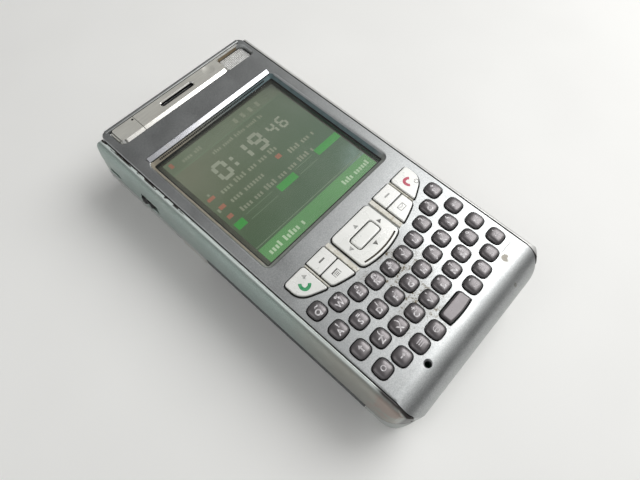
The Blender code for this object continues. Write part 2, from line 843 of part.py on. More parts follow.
def dpad_outline():
    return fillet(under_arc(-DPAD_X, DPAD_X, NAV_TOP_Y, DPAD_BOTTOM, 6), 1.0)


def nav_key(name, outline):
    """A press key of the cluster, with its origin on its own press axis."""
    base = FRONT_Z - COVER_T - GAP - FLANGE_T
    sections = [
        (outline, base),
        (outline, FRONT_Z + NAV_PROUD - 0.25),
        (grown(outline, -0.25), FRONT_Z + NAV_PROUD),
    ]
    key = finish(loft(name, sections), "nav_plastic", 50)
    xs, ys = zip(*outline)
    set_origin(key, (min(xs) + max(xs)) / 2, (min(ys) + max(ys)) / 2, FRONT_Z)
    return key


def direction_pad():
    """The four-way pad, with its origin on its rocking axis and a well for the centre key."""
    pad = nav_key("direction_pad", dpad_outline())
    reach_x, reach_y = OK_SIZE[0] / 2 + GAP, OK_SIZE[1] / 2 + GAP
    well = rounded_rect(-reach_x, reach_x, OK_Y - reach_y, OK_Y + reach_y, 0.9, 3)
    cut(pad, prism("ok_well", well, SPLIT_Z, FRONT_Z + 2))
    offset = Vector((0, OK_Y, DPAD_PIVOT_Z)) * MM
    shift = pad.location - offset
    for vertex in pad.data.vertices:
        vertex.co += shift
    pad.location = offset
    return pad


def ok_key():
    w, h = OK_SIZE
    outline = rounded_rect(-w / 2, w / 2, OK_Y - h / 2, OK_Y + h / 2, 0.7, 3)
    return nav_key("ok_key", outline)


def navigation_keys():
    for name, outline in nav_outlines():
        if name != "direction_pad":
            nav_key(name, outline)
    direction_pad()
    ok_key()


# ---------------------------------------------------------------- side controls


def volume_rocker():
    """A long rocker on the left side; its origin is on its pivot, which runs along Z."""
    y0, y1 = ROCKER_Y[0] + 0.8, ROCKER_Y[1]
    proud = X_SIDE + 0.1
    middle = (y0 + y1) / 2
    inner = -X_SIDE + 2.2
    outline = [
        (inner, y0),
        (inner, y1),
        (-proud + 1.0, y1),
        (-proud + 0.2, y1 - 1.0),
        (-proud + 0.35, middle),
        (-proud + 0.2, y0 + 1.0),
        (-proud + 1.0, y0),
    ]
    rocker = prism("volume_rocker", outline, *ROCKER_Z)
    finish(rocker, "polished_metal")
    set_origin(rocker, inner + 0.2, middle, sum(ROCKER_Z) / 2)
    return rocker


def side_switch():
    """A slide switch on the left side, with a stepped thumb grip."""
    y0, y1 = SWITCH_Y
    z0, z1 = SWITCH_Z
    inner = -COVER_X - 0.4
    outer = -X_SIDE
    outline = [
        (inner, y0),
        (inner, y1),
        (outer + 0.6, y1),
        (outer - 0.6, y1 - 0.8),
        (outer - 0.6, y1 - 1.7),
        (outer, y1 - 2.3),
        (outer - 0.4, y0 + 0.8),
        (outer + 0.6, y0),
    ]
    switch = prism("side_switch", outline, z0, z1)
    finish(switch, "switch_plastic")
    set_origin(switch, inner, (y0 + y1) / 2, (z0 + z1) / 2)
    return switch


def clear_scene():
    for obj in list(bpy.data.objects):
        bpy.data.objects.remove(obj)


def build():
    clear_scene()
    front_cover()
    mid_frame()
    rear_cover()
    battery_cover()
    battery_pack()
    main_board()
    display_module()
    touch_panel()
    earpiece_bar()
    stylus()
    speaker_grille()
    letter_keys()
    space_bar()
    navigation_keys()
    volume_rocker()
    side_switch()


build()
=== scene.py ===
"""Looks of the handheld personal digital assistant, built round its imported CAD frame.

Lengths are in millimetres and turned into metres where a mesh is made. Axes as in the CAD:
+X to the device's right, +Y towards the earpiece, +Z out of the display.
"""

import math

import bmesh
import bpy
from mathutils import Matrix, Vector


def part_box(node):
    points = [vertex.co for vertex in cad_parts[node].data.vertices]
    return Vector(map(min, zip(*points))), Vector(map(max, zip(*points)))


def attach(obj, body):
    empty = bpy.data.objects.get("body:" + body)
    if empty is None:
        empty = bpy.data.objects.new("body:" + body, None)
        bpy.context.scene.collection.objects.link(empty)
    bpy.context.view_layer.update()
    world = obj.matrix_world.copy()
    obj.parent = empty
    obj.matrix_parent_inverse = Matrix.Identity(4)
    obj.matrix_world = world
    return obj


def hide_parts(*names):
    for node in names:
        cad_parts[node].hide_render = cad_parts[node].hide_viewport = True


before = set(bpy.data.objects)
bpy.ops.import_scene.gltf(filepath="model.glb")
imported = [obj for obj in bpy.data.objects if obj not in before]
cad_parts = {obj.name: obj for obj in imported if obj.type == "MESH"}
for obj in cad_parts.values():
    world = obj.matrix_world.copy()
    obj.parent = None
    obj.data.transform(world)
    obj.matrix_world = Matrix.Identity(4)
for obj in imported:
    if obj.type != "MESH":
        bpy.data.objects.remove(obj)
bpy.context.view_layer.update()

MM = 0.001
GAP = 0.3  # clearance between two neighbouring pieces


def span(node):
    """Lowest and highest corner of a CAD node, in millimetres."""
    low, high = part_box(node)
    return low / MM, high / MM


# ---------------------------------------------------------------- sizes

COVER_LOW, COVER_HIGH = span("front_cover")
COVER_X, Y_END, FRONT_Z = COVER_HIGH
CHIN_Z = COVER_LOW.z
FRAME_LOW, FRAME_HIGH = span("mid_frame")
X_SIDE, SPLIT_Z = FRAME_HIGH.x, FRAME_LOW.z
ROLL_R = 8.5
TOP_EDGE_R = 1.2
REAR_EDGE_R = 5.5
PLAN_R = (9.0, 3.4)  # corners at the bottom end and at the top end
COVER_T = 1.5
COVER_EDGE_R = 0.4
COVER_PLAN_R = (5.0, 3.4)
SKIRT_Z = 18.6
RAIL_STEP = 1.3  # how far the side rails stop short of the top end
SEAM = 0.2  # visible gap beside the front cover
STEP_Z = 20.6
STEP_FLOOR_T = 1.3
EDGE_FLARE = 0.14  # little chamfer round each opening of the cover

GLASS_LOW, GLASS_HIGH = span("touch_panel")
WINDOW_X = GLASS_HIGH.x + 0.2
WINDOW_Y = (GLASS_LOW.y - 0.2, GLASS_HIGH.y + 0.2)
WINDOW_R = 2.5
WINDOW_SLOPE = 1.3
LCD_SIDE = 44.3
LCD_CENTRE_X = 0.4
LCD_PLATE_T = 0.015
MODULE_HIGH = span("display_module")[1]
LCD_CENTRE_Y = MODULE_HIGH.y - LCD_SIDE / 2 - 0.9
TRIM_Y = (40.5, 42.4)
TRIM_FLOOR_Z = 21.2
TRIM_NOTCH = -13.8  # x of a small dent in the trim

BAR_LOW, BAR_HIGH = span("earpiece_bar")
STYLUS_TIP_Y = span("stylus")[0].y
BAR_Y = (BAR_LOW.y, BAR_HIGH.y - 0.8)
BAR_X0 = -25.4
BAR_X1 = 16.6
BAR_ARM_W = 0.75
BAR_CORNER = 2.2
BAR_BEVEL = 1.25  # polished slope along the bar's lower edge
BAR_SIDE_BEVEL = 0.75  # and at the bar's ends
# How far the plan has drawn in (0 to 1) at each height below the face.
BAR_LEVELS = ((0.0, -5.0), (0.0, -0.9), (0.04, -0.78), (0.2, -0.6), (0.96, -0.04), (1.0, 0.0))
LIP_RISE = 0.2  # how far the lip stands above the cover
LIP_GAP = 0.12  # dark line between the bar and the lip of the cover behind it
STYLUS_SEAM_X = -17.0
SEAM_GAP = 0.16
STYLUS_SHAFT = (-25.1, 15.0, 1.3)  # x, z and radius
STYLUS_NECK_X = (-25.3, -23.5)
STYLUS_NECK_Y = (53.0, 57.0)
EAR_SLOT = (-8.2, 4.4, 54.8, 1.5)  # x from, x to, y centre, width
DIMPLE = (11.5, 55.6, 2.2, 0.4)  # x, y, radius, depth
GRILLE_LOW, GRILLE_HIGH = span("speaker_grille")

KEY_SIZE = (4.4, 4.3)
KEY_HOLE = (4.8, 4.7)
KEY_POWER = 3.2
KEY_PROUD = 1.0
KEY_WALL_Z = 0.15  # where the cap's wall turns into its dome
KEY_CROWN = 2.5  # power of the dome's profile
FLANGE_Z = (-COVER_T - GAP - 0.6, -COVER_T - GAP)  # under the cover, from its surface
KEY_PLUNGER = (2.2, -4.9)  # width and foot of the stem
SPACE_SIZE = (8.8, 3.9)
LETTER_KEYS = [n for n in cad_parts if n.startswith("key_") and n != "key_space"]

NAV_TOP_Y = -13.2
NAV_MID_Y = -18.2
NAV_ARC = (-25.4, 46.0)  # the lower border, y = y0 + x^2 / (2 R)
CALL_X = (18.0, 25.1)
SOFT_X = (10.2, 16.9)
DPAD_X = 7.6
DPAD_BOTTOM = (-25.9, 24.0)
OK_SIZE = (8.6, 3.7)
OK_Y = -19.1
NAV_PROUD = 0.8
MIC = (-15.9, -52.2, 0.85)

ROCKER_Y = (11.9, 24.5)
ROCKER_Z = (4.0, 7.4)
SWITCH_Y = (34.0, 39.0)
SWITCH_Z = (12.0, 15.0)
SWITCH_TRAVEL = 2.0
SLOT_Y = (49.5, 54.5)
SLOT_Z = (11.4, 13.6)

SHELL_T = 1.6
DOOR_LOW, DOOR_HIGH = span("battery_cover")
DOOR_Y = (DOOR_LOW.y, DOOR_HIGH.y)
BAY_ROOF_Z = (8.4, 9.4)
LENS = (0.0, 44.0, 3.6)
DOCK_X = (-9.5, 9.5)

FRONT_METAL, SIDE_METAL = 0.88, 0.5  # how metallic the two paints are
LEGEND_T = 0.03
LEGEND_BOLD = 0.075
LEGENDS = {
    "q": "~", "w": "%", "e": "$", "r": "@", "t": "&", "y": "?", "u": "1", "i": "2", "o": "3", "p": "+",
    "a": "!", "s": "=", "d": "/", "f": ":", "g": ";", "h": "-", "j": "4", "k": "5", "l": "6",
    "z": "(", "x": ")", "c": "+", "v": "'", "b": '"', "n": "7", "m": "8",
}


# ---------------------------------------------------------------- outlines


def arc(cx, cy, rx, ry, start, end, steps=16):
    """Points of an elliptic arc, angles in degrees."""
    points = []
    for i in range(steps + 1):
        a = math.radians(start + (end - start) * i / steps)
        points.append((cx + rx * math.cos(a), cy + ry * math.sin(a)))
    return points


def cornered(x0, x1, y0, y1, low, high, steps):
    """A rectangle with one corner radius along its lower side and another along its upper side."""
    return (
        arc(x1 - low, y0 + low, low, low, -90, 0, steps)
        + arc(x1 - high, y1 - high, high, high, 0, 90, steps)
        + arc(x0 + high, y1 - high, high, high, 90, 180, steps)
        + arc(x0 + low, y0 + low, low, low, 180, 270, steps)
    )


def rounded_rect(x0, x1, y0, y1, r, steps=10):
    return cornered(x0, x1, y0, y1, r, r, steps)


def end_rounded(half_x, half_y, low, high, steps=14):
    """A centred plan with one corner radius at the bottom end and another at the top end."""
    return cornered(-half_x, half_x, -half_y, half_y, low, high, steps)


def circle(x, y, r, points=48):
    """A closed circle; the last point is one step before the first."""
    return arc(x, y, r, r, 0, 360 - 360 / points, points - 1)


def rectangle(x0, x1, y0, y1):
    return [(x0, y0), (x1, y0), (x1, y1), (x0, y1)]


def squircle(width, height, points=40, power=KEY_POWER):
    """A superellipse: between an ellipse and a rectangle."""
    outline = []
    for i in range(points):
        a = 2 * math.pi * (i + 0.5) / points
        c, s = math.cos(a), math.sin(a)
        reach = (abs(c) ** power + abs(s) ** power) ** (-1 / power)
        outline.append((width / 2 * c * reach, height / 2 * s * reach))
    return outline


def eased(start, corner, end, steps=8):
    """A rounded corner between two points."""
    start, corner, end = Vector(start), Vector(corner), Vector(end)
    shares = [i / steps for i in range(steps + 1)]
    return [tuple(start * (1 - t) ** 2 + corner * 2 * t * (1 - t) + end * t**2) for t in shares]


def fillet(corners, radius, steps=8):
    """Rounds every corner of a polygon."""
    outline = []
    count = len(corners)
    for i in range(count):
        here = Vector(corners[i])
        back = Vector(corners[i - 1]) - here
        ahead = Vector(corners[(i + 1) % count]) - here
        half = back.angle(ahead) / 2
        if half > math.radians(80):
            outline.append(tuple(here))
            continue
        reach = min(radius / math.tan(half), 0.45 * back.length, 0.45 * ahead.length)
        outline += eased(here + back.normalized() * reach, here, here + ahead.normalized() * reach, steps)
    return outline


def grown(outline, by):
    """The outline pushed outwards by a distance; it runs counter-clockwise."""
    result = []
    count = len(outline)
    for i in range(count):
        here = Vector(outline[i])
        along_in = (here - Vector(outline[i - 1])).normalized()
        along_out = (Vector(outline[(i + 1) % count]) - here).normalized()
        normal_in = Vector((along_in.y, -along_in.x))
        normal_out = Vector((along_out.y, -along_out.x))
        middle = (normal_in + normal_out).normalized()
        result.append(tuple(here + middle * by / max(0.5, middle.dot(normal_in))))
    return result


def moved(outline, dx, dy):
    return [(x + dx, y + dy) for x, y in outline]


def mirrored(outline):
    return [(-x, y) for x, y in reversed(outline)]


def turned(outline, degrees):
    c, s = math.cos(math.radians(degrees)), math.sin(math.radians(degrees))
    return [(c * x - s * y, s * x + c * y) for x, y in outline]


def bow(x, y0, radius):
    return y0 + x * x / (2 * radius)


# ---------------------------------------------------------------- solids


def linked(name, data, at=(0, 0, 0)):
    """A new object in the scene, at a place in millimetres."""
    obj = bpy.data.objects.new(name, data)
    obj.location = Vector(at) * MM
    bpy.context.scene.collection.objects.link(obj)
    return obj


def mesh_object(name, points, faces):
    mesh = bpy.data.meshes.new(name)
    bm = bmesh.new()
    verts = [bm.verts.new(Vector(p) * MM) for p in points]
    for face in faces:
        bm.faces.new([verts[i] for i in face])
    bmesh.ops.recalc_face_normals(bm, faces=bm.faces)
    bm.to_mesh(mesh)
    bm.free()
    return linked(name, mesh)


def appended(parts):
    """Points and faces of several (points, faces) pairs as one pair."""
    points, faces = [], []
    for more_points, more_faces in parts:
        start = len(points)
        points += more_points
        faces += [[start + i for i in face] for face in more_faces]
    return points, faces


def place(a, b, level, axis):
    """A point of an outline that is stacked along X, Y or Z."""
    return {"X": (level, a, b), "Y": (a, level, b), "Z": (a, b, level)}[axis]


def skinned(rings):
    """Points and faces of a closed solid through rings of equal point counts."""
    n = len(rings[0])
    points = [point for ring_points in rings for point in ring_points]
    last = len(points) - n
    faces = [list(range(n)), [last + i for i in range(n)]]
    for row in range(0, last, n):
        for i in range(n):
            j = (i + 1) % n
            faces.append([row + i, row + j, row + n + j, row + n + i])
    return points, faces


def lofted(stacks, axis="Z"):
    """Points and faces of closed lofts; each stack is a list of (outline, level) with equal point counts."""
    return appended(
        skinned([[place(a, b, level, axis) for a, b in outline] for outline, level in sections])
        for sections in stacks
    )


def loft(name, sections, axis="Z"):
    return mesh_object(name, *lofted([sections], axis))


def prism(name, outline, low, high, axis="Z"):
    return loft(name, [(outline, low), (outline, high)], axis)


def box(name, x, y, z):
    return prism(name, rectangle(*x, *y), *z)


def evaluated_mesh(obj):
    return bpy.data.meshes.new_from_object(obj.evaluated_get(bpy.context.evaluated_depsgraph_get()))


def applied(obj):
    """Writes the result of the modifiers into the mesh."""
    bpy.context.view_layer.update()
    mesh = evaluated_mesh(obj)
    obj.modifiers.clear()
    obj.data = mesh
    return obj


def combine(target, operation, tools):
    """One Boolean after another; the tools are used up."""
    for tool in tools:
        modifier = target.modifiers.new("boolean", "BOOLEAN")
        modifier.operation = operation
        modifier.solver = "EXACT"
        modifier.object = tool
    applied(target)
    for tool in tools:
        bpy.data.objects.remove(tool)
    return target


def cut(target, *tools):
    return combine(target, "DIFFERENCE", tools)


def crossed(name, side, section, plan):
    """The solid that three extruded outlines share: side (y, z), cross-section (x, z) and plan (x, y)."""
    solid = prism(name, side, -X_SIDE - 2, X_SIDE + 2, "X")
    tall = prism(name + "_section", section, -Y_END - 2, Y_END + 2, "Y")
    flat = prism(name + "_plan", plan, -2, FRONT_Z + 2)
    return combine(solid, "INTERSECT", (tall, flat))


def bevelled(obj, width, segments=3):
    modifier = obj.modifiers.new("bevel", "BEVEL")
    modifier.width = width * MM
    modifier.segments = segments
    modifier.limit_method = "ANGLE"
    modifier.angle_limit = math.radians(35)
    return applied(obj)


def flattened(obj):
    """Keeps the shading of large flat faces flat."""
    modifier = obj.modifiers.new("weighted_normals", "WEIGHTED_NORMAL")
    modifier.keep_sharp = True
    return modifier


def smoothed(obj, degrees=35):
    """Smooth shading, with sharp edges above an angle."""
    obj.data.shade_smooth()
    obj.data.set_sharp_from_angle(angle=math.radians(degrees))
    flattened(obj).weight = 90
    return obj


def sliced(bm, axis, at):
    """Adds edges where a plane across an axis meets a mesh."""
    point, normal = Vector((0, 0, 0)), Vector((0, 0, 0))
    point[axis], normal[axis] = at, 1
    everything = bm.verts[:] + bm.edges[:] + bm.faces[:]
    bmesh.ops.bisect_plane(bm, geom=everything, plane_co=point, plane_no=normal)


def scored(obj, axis, places):
    """Adds edge loops across a solid, so that shading cannot run along its long faces."""
    bm = bmesh.new()
    bm.from_mesh(obj.data)
    for at in places:
        sliced(bm, axis, at * MM)
    bm.to_mesh(obj.data)
    bm.free()


def finished(obj, look, body, *nodes):
    """Paints a piece that has no look yet, lets it ride on its body and lets it stand for CAD nodes."""
    if not obj.data.materials:
        obj.data.materials.append(LOOKS[look])
    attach(obj, body)
    if nodes:
        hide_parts(*nodes)
    return obj


def repaint(node, look):
    """Gives a CAD node that keeps its shape a better material."""
    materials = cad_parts[node].data.materials
    materials.clear()
    materials.append(LOOKS[look])


# ---------------------------------------------------------------- materials


def srgb(r, g, b):
    """A display colour (0 to 255) in the linear values that shaders use."""

    def linear(v):
        v /= 255
        return v / 12.92 if v <= 0.04045 else ((v + 0.055) / 1.055) ** 2.4

    return (linear(r), linear(g), linear(b), 1.0)


class Graph:
    """Builds the node tree of one procedural material."""

    def __init__(self, name, metallic=0.0):
        self.material = bpy.data.materials.new(name)
        self.material.use_nodes = True
        self.tree = self.material.node_tree
        self.shader = self.tree.nodes["Principled BSDF"]
        self.shader.inputs["Metallic"].default_value = metallic
        self.coords = self.node("ShaderNodeTexCoord").outputs["Object"]

    def node(self, kind, **settings):
        made = self.tree.nodes.new(kind)
        for key, value in settings.items():
            setattr(made, key, value)
        return made

    def put(self, value, socket):
        """Feeds a socket with another socket's output, a value, or a display colour as three numbers."""
        if isinstance(value, bpy.types.NodeSocket):
            self.tree.links.new(value, socket)
        elif isinstance(value, tuple) and len(value) == 3:
            socket.default_value = srgb(*value)
        else:
            socket.default_value = value

    def set(self, **inputs):
        """Sets inputs of the surface shader, with underscores for spaces."""
        for key, value in inputs.items():
            self.put(value, self.shader.inputs[key.replace("_", " ")])
        return self

    def math(self, operation, a, b=0.0, clamp=False):
        made = self.node("ShaderNodeMath", operation=operation, use_clamp=clamp)
        self.put(a, made.inputs[0])
        self.put(b, made.inputs[1])
        return made.outputs[0]

    def times(self, a, b, clamp=False):
        return self.math("MULTIPLY", a, b, clamp)

    def plus(self, a, b, clamp=False):
        return self.math("ADD", a, b, clamp)

    def minus(self, a, b):
        return self.math("SUBTRACT", a, b)

    def mix(self, factor, a, b):
        made = self.node("ShaderNodeMix", data_type="RGBA")
        self.put(factor, made.inputs[0])
        self.put(a, made.inputs[6])
        self.put(b, made.inputs[7])
        return made.outputs[2]

    def scaled(self, value, low, high, to_low=0.0, to_high=1.0):
        """A value moved from one range to another, smoothly and within it."""
        made = self.node("ShaderNodeMapRange", interpolation_type="SMOOTHSTEP", clamp=True)
        for index, entry in enumerate((value, low, high, to_low, to_high)):
            self.put(entry, made.inputs[index])
        return made.outputs[0]

    def stretched(self, scale):
        made = self.node("ShaderNodeMapping")
        self.put(self.coords, made.inputs["Vector"])
        made.inputs["Scale"].default_value = scale
        return made.outputs["Vector"]

    def noise(self, size, detail=3.0, rough=0.55, vector=None):
        """Noise whose blobs are about size millimetres wide."""
        made = self.node("ShaderNodeTexNoise")
        self.put(vector or self.coords, made.inputs["Vector"])
        made.inputs["Scale"].default_value = 0.5 / (size * MM)
        made.inputs["Detail"].default_value = detail
        made.inputs["Roughness"].default_value = rough
        return made.outputs["Fac"]

    def cloud(self, size, detail, low, high, to_low=0.0, to_high=1.0, fine=0.55):
        """Noise whose values between low and high are spread over a new range."""
        return self.scaled(self.noise(size, detail, fine), low, high, to_low, to_high)

    def axis(self, name):
        made = self.node("ShaderNodeSeparateXYZ")
        self.put(self.coords, made.inputs[0])
        return self.times(made.outputs[name], 1 / MM)

    def beside(self, name):
        """Distance from the middle along an axis."""
        return self.math("ABSOLUTE", self.axis(name))

    def near(self, x, y, radius, soft=0.5):
        """1 close to a place seen from the front, falling to 0 at the radius."""
        dx, dy = self.minus(self.axis("X"), x), self.minus(self.axis("Y"), y)
        square = self.plus(self.times(dx, dx), self.times(dy, dy))
        return self.scaled(self.math("SQRT", square), radius * soft, radius, 1.0, 0.0)

    def rounded_normal(self, radius):
        """The normal of a shape whose edges are rounded by a radius in millimetres."""
        bevel = self.node("ShaderNodeBevel", samples=4)
        bevel.inputs["Radius"].default_value = radius * MM
        return bevel.outputs[0]

    def edges(self, radius, low=0.02, high=0.2):
        """1 along the edges of the shape, 0 away from them."""
        dot = self.node("ShaderNodeVectorMath", operation="DOT_PRODUCT")
        self.put(self.rounded_normal(radius), dot.inputs[0])
        self.put(self.node("ShaderNodeNewGeometry").outputs["Normal"], dot.inputs[1])
        return self.scaled(self.minus(1.0, dot.outputs["Value"]), low, high)

    def bump(self, height, depth, strength=1.0, round_edges=0.0):
        """Relief of a depth in millimetres, with edges that shade as if slightly rounded."""
        made = self.node("ShaderNodeBump")
        made.inputs["Strength"].default_value = strength
        made.inputs["Distance"].default_value = depth * MM
        self.put(height, made.inputs["Height"])
        if round_edges:
            self.put(self.rounded_normal(round_edges), made.inputs["Normal"])
        self.put(made.outputs[0], self.shader.inputs["Normal"])
        return self


def front_paint():
    """Metallic grey with fine flakes, brown dirt between the keys and a few rubbed places."""
    g = Graph("front_paint_look", metallic=FRONT_METAL)
    base = g.mix(g.cloud(0.12, 2, 0.3, 0.7), (162, 165, 166), (188, 190, 190))
    base = g.mix(g.cloud(9, 3, 0.4, 0.75, 0.0, 0.2), base, (144, 148, 149))
    specks = g.cloud(0.5, 6, 0.51, 0.6, fine=0.8)
    film = g.cloud(2.4, 4, 0.42, 0.62, fine=0.6)
    dirty = g.plus(g.near(-2, -30, 13, 0.3), g.near(-6, -40, 13, 0.2), clamp=True)
    dirty = g.times(dirty, g.scaled(g.axis("Y"), -24.0, -26.5))
    grime = g.plus(g.times(specks, g.plus(film, 0.25)), g.times(film, 0.22))
    base = g.mix(g.times(dirty, grime, clamp=True), base, (84, 74, 54))
    rubbed = g.times(g.near(20.6, -50.5, 1.5, 0.6), g.cloud(0.8, 3, 0.38, 0.46))
    rubbed = g.plus(rubbed, g.times(g.near(17.3, -56.8, 0.7, 0.5), 0.7), clamp=True)
    base = g.mix(g.times(rubbed, 0.85), base, (104, 98, 86))
    from_scratch = g.math("ABSOLUTE", g.plus(g.axis("Y"), 48.9))
    scratch = g.times(g.near(23.6, -48.9, 2.4, 0.8), g.scaled(from_scratch, 0.08, 0.14, 1.0, 0.0))
    base = g.mix(g.times(scratch, 0.8), base, (70, 70, 68))
    streaks = g.scaled(g.noise(0.35, 3, 0.6, g.stretched((0.12, 2.2, 1))), 0.68, 0.74)
    base = g.mix(g.times(streaks, 0.2), base, (110, 112, 112))
    metal = g.minus(FRONT_METAL, g.times(g.plus(rubbed, dirty, clamp=True), 0.4))
    g.set(Base_Color=base, Metallic=metal, Roughness=g.cloud(4, 4, 0.3, 0.7, 0.32, 0.4))
    return g.bump(g.noise(0.1, 2), 0.005, 0.5, 0.08).material


def side_paint():
    """Pale silver-green paint, warmer towards the bottom end, chipped along the seam; a painted reflection makes the
    right rail paler, a painted highlight runs along the left seam, a painted pinkish reflection lies at the bottom
    end and painted shade fills the seam's gap.
    """
    g = Graph("side_paint_look", metallic=SIDE_METAL)
    x, y, z, beside = g.axis("X"), g.axis("Y"), g.axis("Z"), g.beside("X")
    base = g.mix(g.cloud(0.12, 2, 0.35, 0.7), (150, 168, 163), (182, 196, 191))
    base = g.mix(g.cloud(12, 3, 0.4, 0.7, 0.0, 0.3), base, (176, 180, 172))
    base = g.mix(g.scaled(y, -12, -40, 0.0, 0.75), base, (160, 156, 148))
    # Painted reflection: the right rail is paler, as if it mirrors the light from that side.
    base = g.mix(g.scaled(x, 27, 28), base, (214, 214, 212))
    left, upper = g.scaled(x, -25, -27), g.scaled(z, SKIRT_Z - 0.2, SKIRT_Z + 0.2)
    # Painted highlight: a pale cream band on the left rail beside the seam.
    crest = g.times(left, g.scaled(beside, COVER_X + 0.7, COVER_X + 1.6, 1.0, 0.0))
    base = g.mix(g.times(crest, 0.75), base, (228, 236, 232))
    # Bare patches: small bites along the whole seam, more of them at the top, one broad one at the bottom.
    seam = g.scaled(beside, COVER_X + 0.45, COVER_X + 0.95, 1.0, 0.0)
    low_seam = g.scaled(beside, COVER_X + 0.6, COVER_X + 1.5, 1.0, 0.0)
    high = g.times(g.times(left, upper), g.scaled(y, 14, 26))
    low = g.times(left, g.scaled(y, -45, -49))
    bites = g.scaled(g.noise(1.5, 4, 0.6, g.stretched((1.6, 0.7, 1))), 0.47, 0.5)
    broad = g.cloud(2.6, 4, 0.3, 0.36, fine=0.6)
    chips_and_gap_shade = g.times(g.times(seam, bites), g.plus(high, 0.12))
    chips_and_gap_shade = g.plus(chips_and_gap_shade, g.times(g.times(low_seam, broad), low), clamp=True)
    # Painted reflection: a mottled pale pinkish tone at the bottom end of the left rail.
    base = g.mix(g.times(low, g.cloud(2.2, 4, 0.42, 0.56, 0.0, 0.7, fine=0.6)), base, (168, 148, 140))
    # Painted shade: the frame's walls inside the seam's gap join the chips and take their dark colour.
    inner = g.times(g.scaled(beside, COVER_X + SEAM + 0.04, COVER_X + SEAM + 0.1, 1.0, 0.0), upper)
    chips_and_gap_shade = g.math("MAXIMUM", chips_and_gap_shade, inner)
    base = g.mix(chips_and_gap_shade, base, (36, 32, 30))
    scuffs = g.times(g.scaled(z, 13.5, 11.5), g.cloud(1.2, 5, 0.6, 0.66, fine=0.7))
    base = g.mix(g.times(scuffs, 0.4), base, (96, 100, 98))
    metal = g.times(SIDE_METAL, g.minus(1.0, chips_and_gap_shade))
    g.set(Base_Color=base, Metallic=metal, Roughness=g.cloud(5, 4, 0.3, 0.7, 0.3, 0.42))
    return g.bump(g.minus(g.times(g.noise(0.1, 2), 0.1), chips_and_gap_shade), 0.05, 0.6, 0.1).material


def moulded(name, dark, light, rough=0.5, grain=0.25, depth=0.02, metallic=0.0, wear=None):
    """Moulded plastic: fine grain, slight mottling and edges rubbed lighter or darker."""
    g = Graph(name, metallic=metallic)
    base = g.mix(g.cloud(6, 4, 0.3, 0.7), dark, light)
    base = g.mix(g.cloud(grain, 2, 0.4, 0.8, 0.0, 0.25), base, light)
    if wear:
        rub = g.times(g.edges(0.3), g.cloud(1.2, 4, 0.42, 0.6))
        base = g.mix(g.times(rub, 0.7), base, wear)
    g.set(Base_Color=base, Roughness=g.cloud(3, 4, 0.3, 0.7, rough - 0.06, rough + 0.08))
    return g.bump(g.noise(grain, 2), depth, 0.6, 0.12).material


def window_wall():
    """The window's walls, with painted light and shade: brown grey where light falls on the left, teal grey in shade
    on the right, and paler along the lower wall.
    """
    g = Graph("window_wall_look", metallic=0.1)
    # Painted light on the left walls, painted shade on the right, and a paler lower wall.
    base = g.mix(g.scaled(g.axis("X"), -20, 20), (150, 143, 128), (104, 124, 128))
    base = g.mix(g.scaled(g.axis("Y"), -2, -7), base, (160, 162, 158))
    base = g.mix(g.cloud(0.8, 4, 0.45, 0.7, 0.0, 0.3), base, (70, 72, 68))
    g.set(Base_Color=base, Roughness=g.cloud(2, 3, 0.3, 0.7, 0.4, 0.55))
    return g.bump(g.noise(0.2, 2), 0.006, 0.5).material


def key_plastic():
    """Charcoal caps, glossy with a fine satin grain; grease films change the shine from key to key, and painted shade
    darkens each cap below its rim.
    """
    g = Graph("key_plastic_look")
    pick = g.node("ShaderNodeObjectInfo").outputs["Random"]
    base = g.mix(pick, (104, 100, 102), (116, 112, 114))
    base = g.mix(g.cloud(1.4, 4, 0.4, 0.7, 0.0, 0.3), base, (128, 124, 124))
    # Painted shade: the cap turns dark below its rim, where the hole round it lies in shade.
    shade_low = g.scaled(g.axis("Z"), 0.35, -0.1)
    base = g.mix(g.times(shade_low, 0.8), base, (34, 32, 33))
    film = g.cloud(1.1, 4, 0.3, 0.7, 0.27, 0.38)
    g.set(Base_Color=base, Roughness=film, Metallic=0.55, Coat_Weight=0.3, Coat_Roughness=0.2)
    return g.bump(g.noise(0.12, 2), 0.004, 0.5).material


def nav_plastic():
    """Pearl caps: off-white with a warm cloud and greyer rubbed patches; painted shade darkens their lower walls."""
    g = Graph("nav_plastic_look", metallic=0.15)
    base = g.mix(g.cloud(5, 3, 0.35, 0.65), (238, 239, 235), (246, 246, 243))
    rub = g.times(g.edges(0.3, 0.03, 0.25), g.cloud(0.9, 4, 0.44, 0.6))
    base = g.mix(g.times(rub, 0.08), base, (150, 146, 130))
    # Painted shade: the cap's lower walls darken towards the cover, where the gap round it lies in shade.
    shade_low = g.scaled(g.axis("Z"), FRONT_Z + 0.5, FRONT_Z - 0.05)
    base = g.mix(g.times(shade_low, 0.9), base, (52, 46, 38))
    g.set(Base_Color=base, Roughness=g.cloud(2, 4, 0.3, 0.7, 0.24, 0.36), Coat_Weight=0.2)
    return g.bump(g.noise(0.15, 2), 0.003, 0.4, 0.08).material


def rib_plastic():
    """The ribs between the navigation keys: the same pearl, yellowed by dirt in the grooves."""
    g = Graph("rib_plastic_look", metallic=0.1)
    film = g.cloud(1.5, 4, 0.35, 0.65)
    base = g.mix(film, (214, 211, 198), (232, 230, 222))
    base = g.mix(g.times(g.cloud(0.4, 4, 0.55, 0.66), 0.5), base, (150, 136, 104))
    g.set(Base_Color=base, Roughness=g.cloud(1.0, 3, 0.3, 0.7, 0.34, 0.48))
    return g.bump(g.noise(0.2, 2), 0.004, 0.4, 0.08).material


